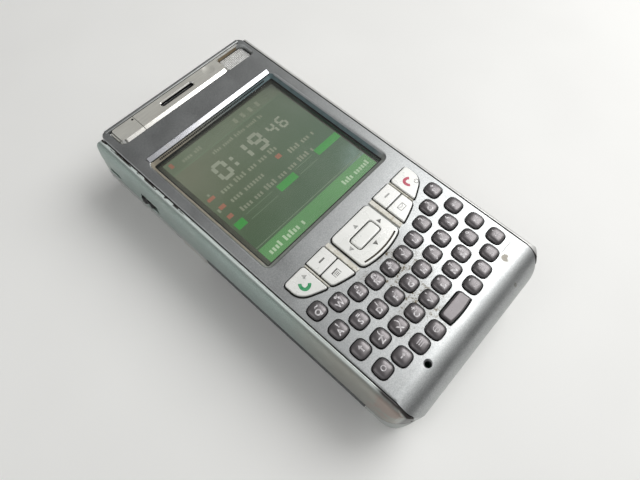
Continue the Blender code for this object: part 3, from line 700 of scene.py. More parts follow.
def satin_metal():
    """Warm silver face of the earpiece bar, brushed along its length."""
    g = Graph("satin_metal_look", metallic=0.35)
    brushed = g.noise(0.1, 4, 0.6, g.stretched((0.05, 1, 1)))
    base = g.mix(g.scaled(brushed, 0.3, 0.7), (200, 199, 192), (214, 213, 205))
    base = g.mix(g.cloud(7, 3, 0.4, 0.75, 0.0, 0.3), base, (192, 188, 178))
    g.set(Base_Color=base, Roughness=g.scaled(brushed, 0.3, 0.7, 0.34, 0.46))
    return g.bump(brushed, 0.004, 0.35, 0.1).material


def polished_metal(name, light, dark):
    """Bright metal of bevels and trims, with hairlines and fogged patches."""
    g = Graph(name, metallic=1.0)
    hair = g.noise(0.08, 4, 0.6, g.stretched((0.06, 1, 1)))
    base = g.mix(g.cloud(3, 3, 0.35, 0.7), light, dark)
    dull = g.cloud(1.3, 4, 0.56, 0.66)
    base = g.mix(g.times(dull, 0.3), base, (168, 164, 156))
    g.set(Base_Color=base, Roughness=g.scaled(hair, 0.3, 0.7, 0.12, 0.24))
    return g.bump(hair, 0.002, 0.3, 0.08).material


def mesh_metal():
    g = Graph("mesh_metal_look", metallic=0.15)
    base = g.mix(g.cloud(0.8, 4, 0.35, 0.65), (248, 248, 246), (232, 232, 229))
    g.set(Base_Color=base, Roughness=g.cloud(0.3, 2, 0.3, 0.7, 0.35, 0.5))
    return g.material


def window_glass():
    """Clear touch panel: sharp reflection, a faint haze of fingerprints, and a tint."""
    g = Graph("window_glass_look")
    clear = g.node("ShaderNodeBsdfTransparent")
    clear.inputs[0].default_value = (0.93, 0.96, 0.94, 1)
    gloss = g.node("ShaderNodeBsdfGlossy")
    g.put(g.cloud(3, 4, 0.3, 0.7, 0.05, 0.13), gloss.inputs["Roughness"])
    fresnel = g.node("ShaderNodeFresnel")
    fresnel.inputs["IOR"].default_value = 1.45
    haze = g.node("ShaderNodeBsdfDiffuse")
    g.put((205, 208, 200), haze.inputs[0])
    surface = clear.outputs[0]
    shares = g.times(fresnel.outputs[0], 0.75), g.cloud(11, 4, 0.3, 0.75, 0.025, 0.07, fine=0.6)
    for share, layer in zip(shares, (gloss, haze)):
        mixed = g.node("ShaderNodeMixShader")
        for index, entry in enumerate((share, surface, layer.outputs[0])):
            g.put(entry, mixed.inputs[index])
        surface = mixed.outputs[0]
    g.put(surface, g.tree.nodes["Material Output"].inputs[0])
    return g.material


def lit(g, colour, strength):
    """A black surface that shines by itself."""
    g.set(Base_Color=(0.01, 0.01, 0.01, 1), Roughness=0.3, Emission_Color=colour, Emission_Strength=strength)
    return g.material


def glow(name, colour):
    """A lit part of the picture; the backlight is slightly uneven."""
    g = Graph(name)
    return lit(g, colour, g.cloud(8, 3, 0.3, 0.7, 0.9, 1.06))


def glow_field():
    """The picture's ground: deep green towards the bottom, olive grey towards the top left, where a painted
    reflection of haze on the glass lies over it, and a painted glare near the lower right corner.
    """
    g = Graph("picture_ground_look")
    half = LCD_SIDE / 2
    across = g.scaled(g.axis("X"), -half, half)
    up = g.scaled(g.axis("Y"), LCD_CENTRE_Y - half, LCD_CENTRE_Y + half)
    # Painted reflection: the top left is lifted to olive grey.
    left = g.mix(up, (60, 84, 56), (116, 115, 98))
    right = g.mix(up, (60, 88, 66), (94, 106, 88))
    colour = g.mix(across, left, right)
    colour = g.mix(g.cloud(14, 3, 0.35, 0.7, 0.0, 0.35), colour, (84, 102, 76))
    # Painted glare: a reflection near the lower right corner.
    glare = g.near(half, LCD_CENTRE_Y - half + 1, 13, 0.0)
    glare = g.times(glare, g.cloud(1.4, 5, 0.3, 0.65, 0.2, 1.0, fine=0.65))
    colour = g.mix(g.times(glare, 0.75), colour, (150, 172, 170))
    return lit(g, colour, 1.0)


def solder_resist():
    g = Graph("board_look")
    traces = g.scaled(g.noise(0.8, 2, 0.5, g.stretched((1, 0.2, 1))), 0.49, 0.52)
    base = g.mix(traces, (20, 84, 48), (34, 112, 66))
    low = g.scaled(g.axis("Z"), 15.5, 15.2)
    shields = g.mix(g.cloud(0.5, 3, 0.3, 0.7), (168, 170, 170), (196, 198, 198))
    g.set(Base_Color=g.mix(low, base, shields), Metallic=g.times(low, 0.85), Roughness=0.4)
    return g.bump(traces, 0.02, 0.5).material


def camera_glass():
    g = Graph("camera_glass_look")
    ring = g.cloud(0.9, 2, 0.3, 0.7)
    g.set(Base_Color=g.mix(ring, (12, 13, 18), (22, 24, 34)), Coat_Weight=1.0)
    g.set(Roughness=g.cloud(2, 3, 0.3, 0.7, 0.05, 0.12))
    return g.material


def legend_ink(name, colour, dull):
    """Printed ink, thin and a little worn."""
    g = Graph(name)
    worn = g.cloud(0.35, 4, 0.42, 0.62)
    g.set(Base_Color=g.mix(worn, dull, colour), Roughness=g.scaled(worn, 0, 1, 0.55, 0.4))
    return g.material


LOOKS = {
    "front": front_paint(),
    "side": side_paint(),
    "rear": moulded("rear_plastic_look", (168, 172, 170), (190, 194, 192), 0.45, 0.25, 0.02, 0.2, (120, 118, 112)),
    "door": moulded("door_plastic_look", (62, 65, 67), (78, 81, 83), 0.5, 0.35, 0.03, 0.0, (108, 110, 110)),
    "key": key_plastic(),
    "nav": nav_plastic(),
    "rib": rib_plastic(),
    "satin": satin_metal(),
    "polished": polished_metal("polished_metal_look", (226, 225, 221), (214, 212, 206)),
    "trim": polished_metal("trim_metal_look", (172, 173, 178), (160, 161, 165)),
    "mesh": mesh_metal(),
    "glass": window_glass(),
    # This black look also paints shade on the walls of the earpiece slot and the seam dot.
    "black": moulded("black_plastic_and_shade_look", (18, 18, 18), (32, 32, 32), 0.45, 0.3, 0.02, 0.0, (70, 70, 70)),
    # A dark ring painted as shade at the foot of the window's walls.
    "shade_ring": moulded("shade_ring_look", (26, 27, 27), (44, 43, 40), 0.6, 0.4, 0.02),
    "cell": moulded("display_cell_look", (96, 92, 82), (112, 108, 96), 0.35, 0.6, 0.01),
    "lip": moulded("lip_look", (140, 142, 142), (158, 160, 159), 0.36, 0.2, 0.01, 0.7),
    "window_wall_lit_and_shaded": window_wall(),
    "grime": moulded("groove_dirt_look", (58, 52, 42), (84, 76, 62), 0.7, 0.3, 0.02),
    "cloth": moulded("speaker_cloth_look", (62, 60, 58), (88, 86, 82), 0.8, 0.2, 0.02),
    "wall": moulded("grille_wall_look", (122, 106, 84), (150, 134, 108), 0.55, 0.3, 0.02),
    "wrap": moulded("battery_wrap_look", (44, 46, 52), (66, 68, 74), 0.45, 0.5, 0.01, 0.3),
    "board": solder_resist(),
    "camera": camera_glass(),
    "ink_white": legend_ink("legend_white_look", (236, 234, 236), (190, 186, 188)),
    "ink_grey": legend_ink("legend_grey_look", (84, 84, 82), (120, 120, 116)),
    "ink_pale": legend_ink("legend_pale_look", (150, 152, 152), (182, 182, 178)),
    "ink_green": legend_ink("legend_green_look", (34, 140, 84), (70, 160, 110)),
    "ink_red": legend_ink("legend_red_look", (192, 60, 88), (206, 104, 120)),
}


# ---------------------------------------------------------------- casing


def cover_side(inset, bottom):
    """Side view (y, z) of the front cover: rolled bottom end, small top edge, stepped lower border."""
    roll, top = ROLL_R - inset, TOP_EDGE_R
    end, front = Y_END - inset, FRONT_Z - inset
    return (
        [(-Y_END + ROLL_R + 2, bottom), (-Y_END + ROLL_R - 2, CHIN_Z), (-end, CHIN_Z)]
        + arc(-Y_END + ROLL_R, FRONT_Z - ROLL_R, roll, roll, 180, 90, 40)
        + arc(end - top, front - top, top, top, 90, 0, 10)
        + [(end, bottom)]
    )


def cover_section(inset):
    half, front, r = COVER_X - inset, FRONT_Z - inset, COVER_EDGE_R
    return (
        [(-half, SPLIT_Z), (half, SPLIT_Z)]
        + arc(half - r, front - r, r, r, 0, 90, 10)
        + arc(-half + r, front - r, r, r, 90, 180, 10)
    )


def cover_blank(name, inset, bottom=SKIRT_Z):
    """The front cover's outer form as a solid. A negative inset makes the clearance around it."""
    half, end = COVER_X - inset, Y_END - inset
    plan = end_rounded(half, end, *COVER_PLAN_R)
    return crossed(name, cover_side(inset, bottom), cover_section(inset), plan)


def cover_hollow():
    inner_x = COVER_X - COVER_T + 0.3
    inner_end = Y_END - COVER_T
    roll = ROLL_R - COVER_T
    step_y = BAR_Y[0] - 1.2
    side = (
        [(-inner_end, SPLIT_Z)]
        + arc(-Y_END + ROLL_R, FRONT_Z - ROLL_R, roll, roll, 180, 90, 24)
        + [
            (step_y, FRONT_Z - COVER_T),
            (step_y, STEP_Z - STEP_FLOOR_T),
            (inner_end, STEP_Z - STEP_FLOOR_T),
            (inner_end, SPLIT_Z),
        ]
    )
    hollow = prism("cover_hollow", side, -inner_x, inner_x, "X")
    low, high = COVER_PLAN_R
    plan = end_rounded(inner_x, inner_end, low - COVER_T, high - COVER_T)
    return combine(hollow, "INTERSECT", (prism("cover_hollow_plan", plan, SPLIT_Z - 1, FRONT_Z),))


def flared(outline, flare=EDGE_FLARE, top=FRONT_Z):
    """Sections of a cutter that leaves a small chamfer at the cover's surface."""
    return [
        (outline, SPLIT_Z),
        (outline, top - flare),
        (grown(outline, 1.6 * flare), top + 0.6 * flare),
        (grown(outline, 1.6 * flare), top + 2),
    ]


def key_centre(node):
    low, high = span(node)
    return (low.x + high.x) / 2, (low.y + high.y) / 2


def key_openings():
    holes = [moved(squircle(*KEY_HOLE), *key_centre(name)) for name in LETTER_KEYS]
    holes.append(moved(space_outline(GAP), *key_centre("key_space")))
    holes += [grown(outline, GAP) for outline in nav_rooms()]
    return mesh_object("key_openings", *lofted([flared(hole) for hole in holes]))


def window_outline(inset):
    r = WINDOW_R - 1.5 * max(0.0, inset)
    return rounded_rect(-WINDOW_X + inset, WINDOW_X - inset, WINDOW_Y[0] + inset, WINDOW_Y[1] - inset, r, 12)


def window_tool():
    """The display window: walls that lean in, a rounded upper edge."""
    floor = FRONT_Z - COVER_T
    sections = [(window_outline(WINDOW_SLOPE), floor - 1), (window_outline(WINDOW_SLOPE), floor)]
    edge, steps = 0.2, 4
    foot = WINDOW_SLOPE * edge / COVER_T
    for i in range(steps + 1):
        t = i / steps
        inset = foot * (1 - t) - 0.15 * (1 - math.sqrt(1 - t * t))
        sections.append((window_outline(inset), FRONT_Z - edge * (1 - t)))
    sections.append((window_outline(-0.15), FRONT_Z + 1))
    return loft("window_tool", sections)


def neck_room(name):
    x = (STYLUS_NECK_X[0] - GAP, STYLUS_NECK_X[1] + GAP)
    return box(name, x, (STYLUS_NECK_Y[0] - GAP, Y_END + 2), (STYLUS_SHAFT[1], FRONT_Z + 2))


def stylus_bore(name):
    """The stylus channel, from its mouth at the top end."""
    x, z, r = STYLUS_SHAFT
    return prism(name, circle(x, z, r + GAP, 24), 50.0, Y_END + 2, "Y")


def slot_outline():
    x0, x1, y, width = EAR_SLOT
    return rounded_rect(x0, x1, y - width / 2, y + width / 2, width / 2 - 0.01, 12)


def grille_outline(by=0.0):
    """Plan of the loudspeaker's window: square beside the bar, round at the right."""
    x0, x1 = BAR_X1 - 0.3, GRILLE_HIGH.x + by
    y0, y1 = GRILLE_LOW.y - by, BAR_Y[1] - BAR_ARM_W
    r = 2.2
    return (
        [(x0, y1), (x0, y0)]
        + arc(x1 - 1.2, y0 + 1.2, 1.2, 1.2, -90, 0, 8)
        + arc(x1 - r, y1 - r, r, r, 0, 90, 12)
    )


def top_end_tools():
    """Cuts for the bar's step, the stylus channel, the earpiece slot and the loudspeaker window."""
    lip_y = BAR_Y[1] + LIP_GAP
    r, y = 1.8, BAR_Y[0] - GAP + 1.8
    step_plan = arc(BAR_X0 - GAP + r, y, r, r, 180, 270, 10) + arc(BAR_X1 + GAP - r, y, r, r, -90, 0, 10)
    step_plan += [(BAR_X1 + GAP, lip_y), (STYLUS_SEAM_X, lip_y)]
    step_plan += [(STYLUS_SEAM_X, Y_END + 2), (BAR_X0 - GAP, Y_END + 2)]
    arm = box("arm_tool", (BAR_X1 - 1, BAR_HIGH.x + GAP), (GRILLE_HIGH.y, lip_y), (STEP_Z, FRONT_Z + 2))
    seat = grille_outline(GAP)
    sound_y = (GRILLE_LOW.y + 1, GRILLE_HIGH.y - 1)
    sound = box("sound_tool", (GRILLE_LOW.x + 1.1, GRILLE_HIGH.x - 1.2), sound_y, (SPLIT_Z, FRONT_Z))
    seat_sections = [(seat, GRILLE_LOW.z - GAP), (seat, FRONT_Z - 0.3), (grown(seat, 0.4), FRONT_Z + 0.1)]
    return (
        prism("step_tool", step_plan, STEP_Z, FRONT_Z + 2),
        arm,
        neck_room("cover_neck_tool"),
        stylus_bore("cover_bore"),
        prism("ear_slot_tool", slot_outline(), SPLIT_Z, FRONT_Z + 2),
        loft("grille_seat_tool", seat_sections),
        sound,
    )


def front_cover():
    cover = cover_blank("front_cover_shell", 0)
    half = WINDOW_X - 0.8
    trim = box("trim_tool", (-half, half), TRIM_Y, (TRIM_FLOOR_Z, FRONT_Z + 2))
    x, y, r = MIC
    mic = mesh_object("mic_tool", *lofted([flared(circle(x, y, r, 36), 0.32, FRONT_Z - 0.12)]))
    cut(cover, cover_hollow(), key_openings(), window_tool(), trim, mic)
    cut(cover, *top_end_tools())
    scored(cover, 0, [flip * (COVER_X - inset) for inset in (0.55, 1.2, 2.2, 3.6, 5.2) for flip in (-1, 1)])
    scored(cover, 1, (-Y_END + ROLL_R + 0.05, -Y_END + ROLL_R + 1.0, Y_END - 2.2))
    cover.data.materials.append(LOOKS["front"])
    # The second look, for the window's walls, carries painted light and shade.
    cover.data.materials.append(LOOKS["window_wall_lit_and_shaded"])
    for face in cover.data.polygons:
        x, y, z = face.center / MM
        if abs(x) < WINDOW_X + 0.1 and WINDOW_Y[0] - 0.1 < y < WINDOW_Y[1] + 0.1 and z < FRONT_Z - 0.4:
            face.material_index = 1
    smoothed(cover)
    return finished(cover, "front", "casing", "front_cover")


def rail_top(offset):
    """Height of the side frame's upper edge at a distance outside the long seam."""
    reach = X_SIDE - COVER_X
    drop = FRONT_Z - 0.12 - (SPLIT_Z + 3)
    share = min(1.0, offset / reach)
    lip = 0.08 * max(0.0, 1 - max(0.0, offset - SEAM) / 0.3) ** 2
    return SPLIT_Z + 3 + drop * (1 - share**2.4) ** (1 / 2.4) - lip


def frame_section():
    """Cross-section (x, z) of the side frame: each side bulges out and rolls over to the seam."""
    reach = X_SIDE - COVER_X
    bulge = [reach * math.sin(math.radians(90 * (1 - i / 30))) for i in range(31)]
    offsets = [offset for offset in bulge if offset > SEAM + 0.3] + [SEAM + 0.3 * i / 5 for i in range(5, -1, -1)]
    right = [(COVER_X + offset, rail_top(offset)) for offset in offsets] + [(COVER_X, FRONT_Z - 0.4)]
    left = [(-x, z) for x, z in reversed(right)]
    return [(-X_SIDE, SPLIT_Z), (X_SIDE, SPLIT_Z)] + right + left


def frame_side():
    """Side view (y, z) of the side frame: it follows the cover's roll at the bottom end."""
    return (
        [(-Y_END, SPLIT_Z)]
        + arc(-Y_END + ROLL_R, FRONT_Z - ROLL_R, ROLL_R, ROLL_R, 180, 90, 40)
        + arc(Y_END - RAIL_STEP - 2.0, FRONT_Z - 2.0, 2.0, 2.0, 90, 0, 14)
        + [(Y_END - RAIL_STEP, SKIRT_Z - GAP), (Y_END, SKIRT_Z - GAP), (Y_END, SPLIT_Z)]
    )


def body_plan():
    return end_rounded(X_SIDE, Y_END, *PLAN_R, 16)


def mid_frame():
    rails = crossed("side_rails", frame_side(), frame_section(), body_plan())
    inner = COVER_X - 0.6
    hollow_plan = rounded_rect(-inner, inner, -Y_END + 1.9, Y_END - 1.9, 2.0, 10)
    hollow = prism("frame_hollow", hollow_plan, SPLIT_Z - 1, FRONT_Z + 2)
    through = (-X_SIDE - 2, -COVER_X + 2, "X")
    switch_y = (SWITCH_Y[0] - GAP - SWITCH_TRAVEL, SWITCH_Y[1] + GAP)
    switch_plan = rounded_rect(*switch_y, SWITCH_Z[0] - GAP, SWITCH_Z[1] + GAP, 0.5)
    switch_room = prism("switch_room", switch_plan, *through)
    side_slot = prism("side_slot", rounded_rect(*SLOT_Y, *SLOT_Z, 1.0), *through)
    dock = box("dock_room", DOCK_X, (-Y_END - 2, -Y_END + 4), (SPLIT_Z - 1, CHIN_Z + 1))
    cut(rails, cover_blank("cover_room", -SEAM, SKIRT_Z - GAP), hollow)
    cut(rails, stylus_bore("frame_bore"), neck_room("frame_neck_tool"), switch_room, side_slot, dock)
    smoothed(rails)
    return finished(rails, "side", "casing", "mid_frame")


def rear_blank(name):
    """The rear half's outer form: quarter ellipses from the flat back up to the sides."""
    rise = 8.0
    section = (
        arc(X_SIDE - REAR_EDGE_R, rise, REAR_EDGE_R, rise, -90, 0, 20)
        + [(X_SIDE, SPLIT_Z + 1), (-X_SIDE, SPLIT_Z + 1)]
        + arc(-X_SIDE + REAR_EDGE_R, rise, REAR_EDGE_R, rise, 180, 270, 20)
    )
    side = (
        arc(-Y_END + REAR_EDGE_R, rise, REAR_EDGE_R, rise, 180, 270, 20)
        + arc(Y_END - REAR_EDGE_R, rise, REAR_EDGE_R, rise, -90, 0, 20)
        + [(Y_END, SPLIT_Z - GAP), (-Y_END, SPLIT_Z - GAP)]
    )
    return crossed(name, side, section, body_plan())


def rear_cover():
    """The rear half: end tubs for the camera and the dock, joined by the roof of the battery bay."""
    cover = rear_blank("rear_cover_shell")
    wide = (-X_SIDE - 2, X_SIDE + 2)
    skirt_y = (DOOR_Y[0] - GAP, DOOR_Y[1] + GAP)
    skirt_x = X_SIDE - SHELL_T - 2 * GAP
    tub = (-X_SIDE + 4.4, X_SIDE - 4.4)
    rocker_y = (ROCKER_Y[0] + 0.4, ROCKER_Y[1] + GAP + 0.4)
    tools = [
        box("door_room", wide, skirt_y, (-2, BAY_ROOF_Z[0])),
        box("left_skirt_room", (wide[0], -skirt_x), skirt_y, (0, SPLIT_Z + 1)),
        box("right_skirt_room", (skirt_x, wide[1]), skirt_y, (0, SPLIT_Z + 1)),
        box("top_tub", tub, (DOOR_Y[1] + 2, Y_END - 3), (SHELL_T, SPLIT_Z + 1)),
        box("chin_tub", tub, (-Y_END + 3, DOOR_Y[0] - 2), (SHELL_T, SPLIT_Z + 1)),
        box("roof_relief", tub, (DOOR_Y[0] - 4, DOOR_Y[1] + 4), (BAY_ROOF_Z[1], SPLIT_Z + 1)),
        prism("lens_tool", circle(*LENS), -1, SHELL_T + 1),
        box("rocker_room", (wide[0], -X_SIDE + 3.4), rocker_y, (ROCKER_Z[0] - GAP, ROCKER_Z[1] + GAP)),
    ]
    smoothed(cut(cover, *tools))
    return finished(cover, "rear", "casing", "rear_cover")


def battery_cover():
    """The removable door: skirts that wrap up to the joint plane, and a ribbed thumb rest."""
    door = rear_blank("battery_door")
    keep = box("door_keep", (-X_SIDE - 2, X_SIDE + 2), DOOR_Y, (DOOR_LOW.z, SPLIT_Z - GAP))
    combine(door, "INTERSECT", (keep,))
    inner_x = X_SIDE - SHELL_T - GAP
    slope = X_SIDE - REAR_EDGE_R
    hollow = [(-slope, SHELL_T), (slope, SHELL_T), (inner_x, 5.5), (inner_x, 12), (-inner_x, 12), (-inner_x, 5.5)]
    plans = [rounded_rect(-7, 7, y - 0.35, y + 0.35, 0.34, 6) for y in (1.0, 3.0, 5.0, 7.0)]
    grooves = [[(plan, DOOR_LOW.z - 1), (plan, DOOR_LOW.z + 0.35)] for plan in plans]
    cut(door, prism("door_hollow", hollow, DOOR_Y[0] - 2, DOOR_Y[1] + 2, "Y"))
    cut(door, mesh_object("thumb_grooves", *lofted(grooves)))
    smoothed(door)
    return finished(door, "door", "battery_cover", "battery_cover")


def camera_window():
    """The camera's window on the back: a bright ring and a dark lens disc, set into the rear cover."""
    x, y, r = LENS
    for name, look, rings in (
        ("ring", "polished", ((r - 0.1, 1.4), (r - 0.1, 0.25), (r - 0.3, 0.1), (r - 0.8, 0.1), (r - 1.1, 0.6))),
        ("lens", "camera", ((r - 1.15, 0.59), (r - 1.2, 0.52), (1.2, 0.42))),
    ):
        piece = loft("camera_" + name, [(circle(x, y, size), z) for size, z in rings])
        finished(smoothed(piece), look, "casing")


# ---------------------------------------------------------------- display


def lcd(u, v):
    """A place on the lit square, u from the left and v from the top, both 0 to 1."""
    return LCD_CENTRE_X - LCD_SIDE / 2 + u * LCD_SIDE, LCD_CENTRE_Y + LCD_SIDE / 2 - v * LCD_SIDE


def lcd_plate(u0, u1, v0, v1, z):
    """One thin closed plate of the picture."""
    x0, y1 = lcd(u0, v0)
    x1, y0 = lcd(u1, v1)
    outline = rectangle(x0, x1, y0, y1)
    return [(outline, z), (outline, z + LCD_PLATE_T)]


SEGMENTS = {
    "0": "abcdef", "1": "bc", "2": "abged", "3": "abgcd", "4": "fgbc",
    "5": "afgcd", "6": "afgedc", "7": "abc", "8": "abcdefg", "9": "abcdfg",
}


def digit(text, u, v, width, height, z):
    """A seven-segment digit with its upper left corner at u, v."""
    t = 0.26 * width
    half, high, low = height / 2, (t * 0.7, height / 2 - t * 0.3), (height / 2 + t * 0.3, height - t * 0.7)
    strokes = {
        "a": (t * 0.6, width - t * 0.6, 0, t),
        "g": (t * 0.8, width - t * 0.8, half - t / 2, half + t / 2),
        "d": (t * 0.6, width - t * 0.6, height - t, height),
        "f": (0, t, *high),
        "b": (width - t, width, *high),
        "e": (0, t, *low),
        "c": (width - t, width, *low),
    }
    chosen = [strokes[name] for name in SEGMENTS[text]]
    return [lcd_plate(u + u0, u + u1, v + v0, v + v1, z) for u0, u1, v0, v1 in chosen]


def word_row(u0, u1, v, height, z, seed):
    """A line of short ticks in uneven groups that stands for a line of text and spells nothing."""
    plates = []
    u, count, left = u0, seed, 4
    while u < u1:
        count = (count * 7 + 3) % 11
        top = v if count % 4 == 0 else v + 0.28 * height
        plates.append(lcd_plate(u, u + 0.36 * height, top, v + height * 0.95, z))
        left -= 1
        u += height * (0.58 if left else 1.1)
        left = left or 3 + count % 6
    return plates


def plates(z, *places):
    return [lcd_plate(*edges, z) for edges in places]


def words(z, *rows):
    return [tick for row in rows for tick in word_row(*row[:4], z, row[4])]


def picture_layers():
    """The lit picture: a clock, a few lines of marks and a green key bar, each layer with its glow."""
    z0, z1, z2 = (MODULE_HIGH.z + 0.03 * k for k in (1, 2, 3))
    lines = plates(
        z1, (0, 1, 0.108, 0.114), (0, 1, 0.868, 0.874), (0.13, 0.36, 0.65, 0.655), (0.13, 0.36, 0.70, 0.705),
        (0.58, 0.75, 0.64, 0.645), (0.58, 0.75, 0.69, 0.695),
    )
    clock = digit("0", 0.2, 0.225, 0.105, 0.155, z1)
    clock += plates(z1, (0.342, 0.366, 0.26, 0.288), (0.342, 0.366, 0.318, 0.346))
    clock += digit("1", 0.385, 0.225, 0.105, 0.155, z1) + digit("9", 0.525, 0.225, 0.105, 0.155, z1)
    clock += digit("4", 0.685, 0.245, 0.066, 0.105, z1) + digit("6", 0.775, 0.245, 0.066, 0.105, z1)
    text = words(
        z1, (0.3, 0.74, 0.14, 0.032, 4), (0.13, 0.62, 0.4, 0.042, 2), (0.13, 0.4, 0.492, 0.042, 5),
        (0.66, 0.88, 0.492, 0.042, 7), (0.13, 0.78, 0.585, 0.042, 9),
    )
    text += words(z2, (0.12, 0.27, 0.042, 0.036, 3))
    text += plates(z2, *((u, u + 0.026, 0.04, 0.085) for u in (0.58, 0.65, 0.72, 0.79)))
    text += plates(z1, (0.05, 0.065, 0.37, 0.39), (0.02, 0.035, 0.5, 0.53))
    bar_text = words(z2, (0.04, 0.33, 0.925, 0.045, 6), (0.72, 0.95, 0.925, 0.04, 8))
    green = plates(z1, (0.02, 0.095, 0.65, 0.705), (0.40, 0.56, 0.645, 0.70), (0.78, 1.0, 0.625, 0.68))
    red = plates(
        z1, (0.025, 0.08, 0.4, 0.425), (0.04, 0.085, 0.49, 0.52), (0.03, 0.07, 0.575, 0.605),
        (0.565, 0.605, 0.47, 0.505),
    )
    red += plates(z2, (0.03, 0.055, 0.02, 0.06))
    return (
        (plates(z0, (0, 1, 0, 1)), glow_field()),
        (plates(z1, (0, 1, 0, 0.105)), glow("status_look", (106, 114, 94))),
        (plates(z1, (0, 1, 0.888, 1)), glow("key_bar_look", (88, 142, 84))),
        (lines, glow("line_look", (108, 124, 100))),
        (clock, glow("digit_look", (148, 150, 134))),
        (text, glow("text_look", (134, 137, 118))),
        (bar_text, glow("bar_text_look", (176, 196, 164))),
        (green, glow("green_box_look", (62, 150, 66))),
        (red, glow("red_sign_look", (158, 104, 86))),
    )


def joined_layers(name, layers):
    """One object from several groups of lofts, each group with its own material."""
    parts = [lofted(stacks) for stacks, _ in layers]
    obj = mesh_object(name, *appended(parts))
    for _, look in layers:
        obj.data.materials.append(look)
    indices = [index for index, (_, faces) in enumerate(parts) for _ in faces]
    obj.data.polygons.foreach_set("material_index", indices)
    return obj


def display():
    finished(joined_layers("display_picture", picture_layers()), "cell", "casing")
    repaint("touch_panel", "glass")
    repaint("display_module", "cell")


def window_seal():
    """A thin dark ring of painted shade where the touch panel meets the window's walls."""
    top = GLASS_HIGH.z + 0.12
    outer, inner = window_outline(WINDOW_SLOPE - 0.02), window_outline(WINDOW_SLOPE + 0.35)
    shade_ring = prism("window_seal", outer, GLASS_HIGH.z + 0.02, top)
    cut(shade_ring, prism("seal_tool", inner, GLASS_HIGH.z - 1, top + 1))
    return finished(smoothed(shade_ring), "shade_ring", "casing")


def display_trim():
    """The bright strip along the window's upper edge, with a fine comb beneath it."""
    half = WINDOW_X - 0.9
    y0, y1 = TRIM_Y[0] + 0.08, TRIM_Y[1] - 0.08
    low, top = TRIM_FLOOR_Z + 0.1, FRONT_Z + 0.4
    profile = [(y0, low), (y1, low), (y1, top - 0.12), (y1 - 0.2, top), (y0 + 0.12, FRONT_Z - 0.25)]
    notch = [(TRIM_NOTCH - 0.35, y1 + 0.1), (TRIM_NOTCH + 0.05, y1 - 0.55), (TRIM_NOTCH + 0.5, y1 + 0.1)]
    strip = bevelled(prism("display_trim", profile, -half, half, "X"), 0.12)
    cut(strip, prism("trim_notch", notch, FRONT_Z - 0.1, FRONT_Z + 1))
    finished(smoothed(strip), "trim", "casing")
    pitch, margin = 0.62, 3
    starts = [-half + margin + i * pitch for i in range(int((2 * half - 2 * margin) / pitch))]
    plans = [rectangle(x, x + 0.3, y0 - 0.62, y0 - 0.06) for x in starts]
    comb = lofted([[(plan, 20.75), (plan, 21.25)] for plan in plans])
    finished(mesh_object("trim_comb", *comb), "black", "casing")


# ---------------------------------------------------------------- top end


def bar_corner(x, flip, t):
    """The bar's lower corner at one end; t runs from the outer edge of its slope to the face's edge."""
    r = BAR_CORNER
    x -= flip * r
    start, end = (-90, 0) if flip > 0 else (180, 270)
    return arc(x, BAR_Y[0] + r, r - BAR_SIDE_BEVEL * t, r - BAR_BEVEL * t, start, end, 12)


def bar_part(name, plan):
    """A length of the bar, lofted from plans that draw in towards its face."""
    base = BAR_LOW.z - BAR_HIGH.z
    return loft(name, [(plan(t), BAR_HIGH.z + max(drop, base)) for t, drop in BAR_LEVELS])


def dimple_tool():
    x, y, r, depth = DIMPLE
    ball = (r * r + depth * depth) / (2 * depth)
    centre_z = BAR_HIGH.z + ball - depth
    sections = []
    for i in range(9):
        a = math.asin(min(1.0, 1.6 * r / ball)) * (i + 0.02) / 8
        size = ball * math.sin(a)
        sections.append((circle(x, y, size), centre_z - ball * math.cos(a)))
    return loft("dimple_tool", sections)


def polished_rims_and_slot_shading(obj):
    """Gives the slopes round the bar their bright finish, the far slope of the earpiece slot the same bright metal as
    a painted highlight, and the walls of the slot and of the seam dot black as painted shade.
    """
    for look in ("satin", "polished", "black"):
        obj.data.materials.append(LOOKS[look])
    slot_x0, slot_x1, slot_y, width = EAR_SLOT
    for face in obj.data.polygons:
        x, y, z = face.center / MM
        slanted, upright = 0.05 < face.normal.z < 0.95, abs(face.normal.z) < 0.05
        at_rim = y < BAR_Y[0] + BAR_BEVEL + 0.1 or x > BAR_X1 - 0.8 or x < BAR_X0 + 0.8
        in_slot = slot_x0 - 0.4 < x < slot_x1 + 0.4 and abs(y - slot_y) < width / 2 + 0.4
        in_dot = abs(x - STYLUS_SEAM_X + 0.7) < 0.36 and -0.5 < z - BAR_HIGH.z < -0.05
        # The slot's far slope takes the bright metal as a painted highlight.
        if slanted and z > BAR_LOW.z + 0.3 and (at_rim or (in_slot and y > slot_y)):
            face.material_index = 1
        # Painted shade: the slot's upright walls and the seam dot turn black.
        elif (in_slot and upright) or in_dot:
            face.material_index = 2


def earpiece_bar():
    x0 = STYLUS_SEAM_X + SEAM_GAP / 2
    arm_y = BAR_Y[1] - BAR_ARM_W

    def plan(t):
        inner = [(BAR_X1 - BAR_SIDE_BEVEL * t, arm_y), (BAR_HIGH.x, arm_y), (BAR_HIGH.x, BAR_Y[1]), (x0, BAR_Y[1])]
        return [(x0, BAR_Y[0] + BAR_BEVEL * t)] + bar_corner(BAR_X1, 1, t) + inner

    bar = bar_part("earpiece_bar_shell", plan)
    slot = slot_outline()
    top = BAR_HIGH.z
    sections = [(slot, STEP_Z - 1), (slot, top - 0.3), (grown(slot, 0.3), top - 0.02), (grown(slot, 0.5), top + 0.2)]
    cut(bar, loft("bar_slot_tool", sections), dimple_tool())
    polished_rims_and_slot_shading(bar)
    return finished(smoothed(bar, 25), "polished", "casing", "earpiece_bar")


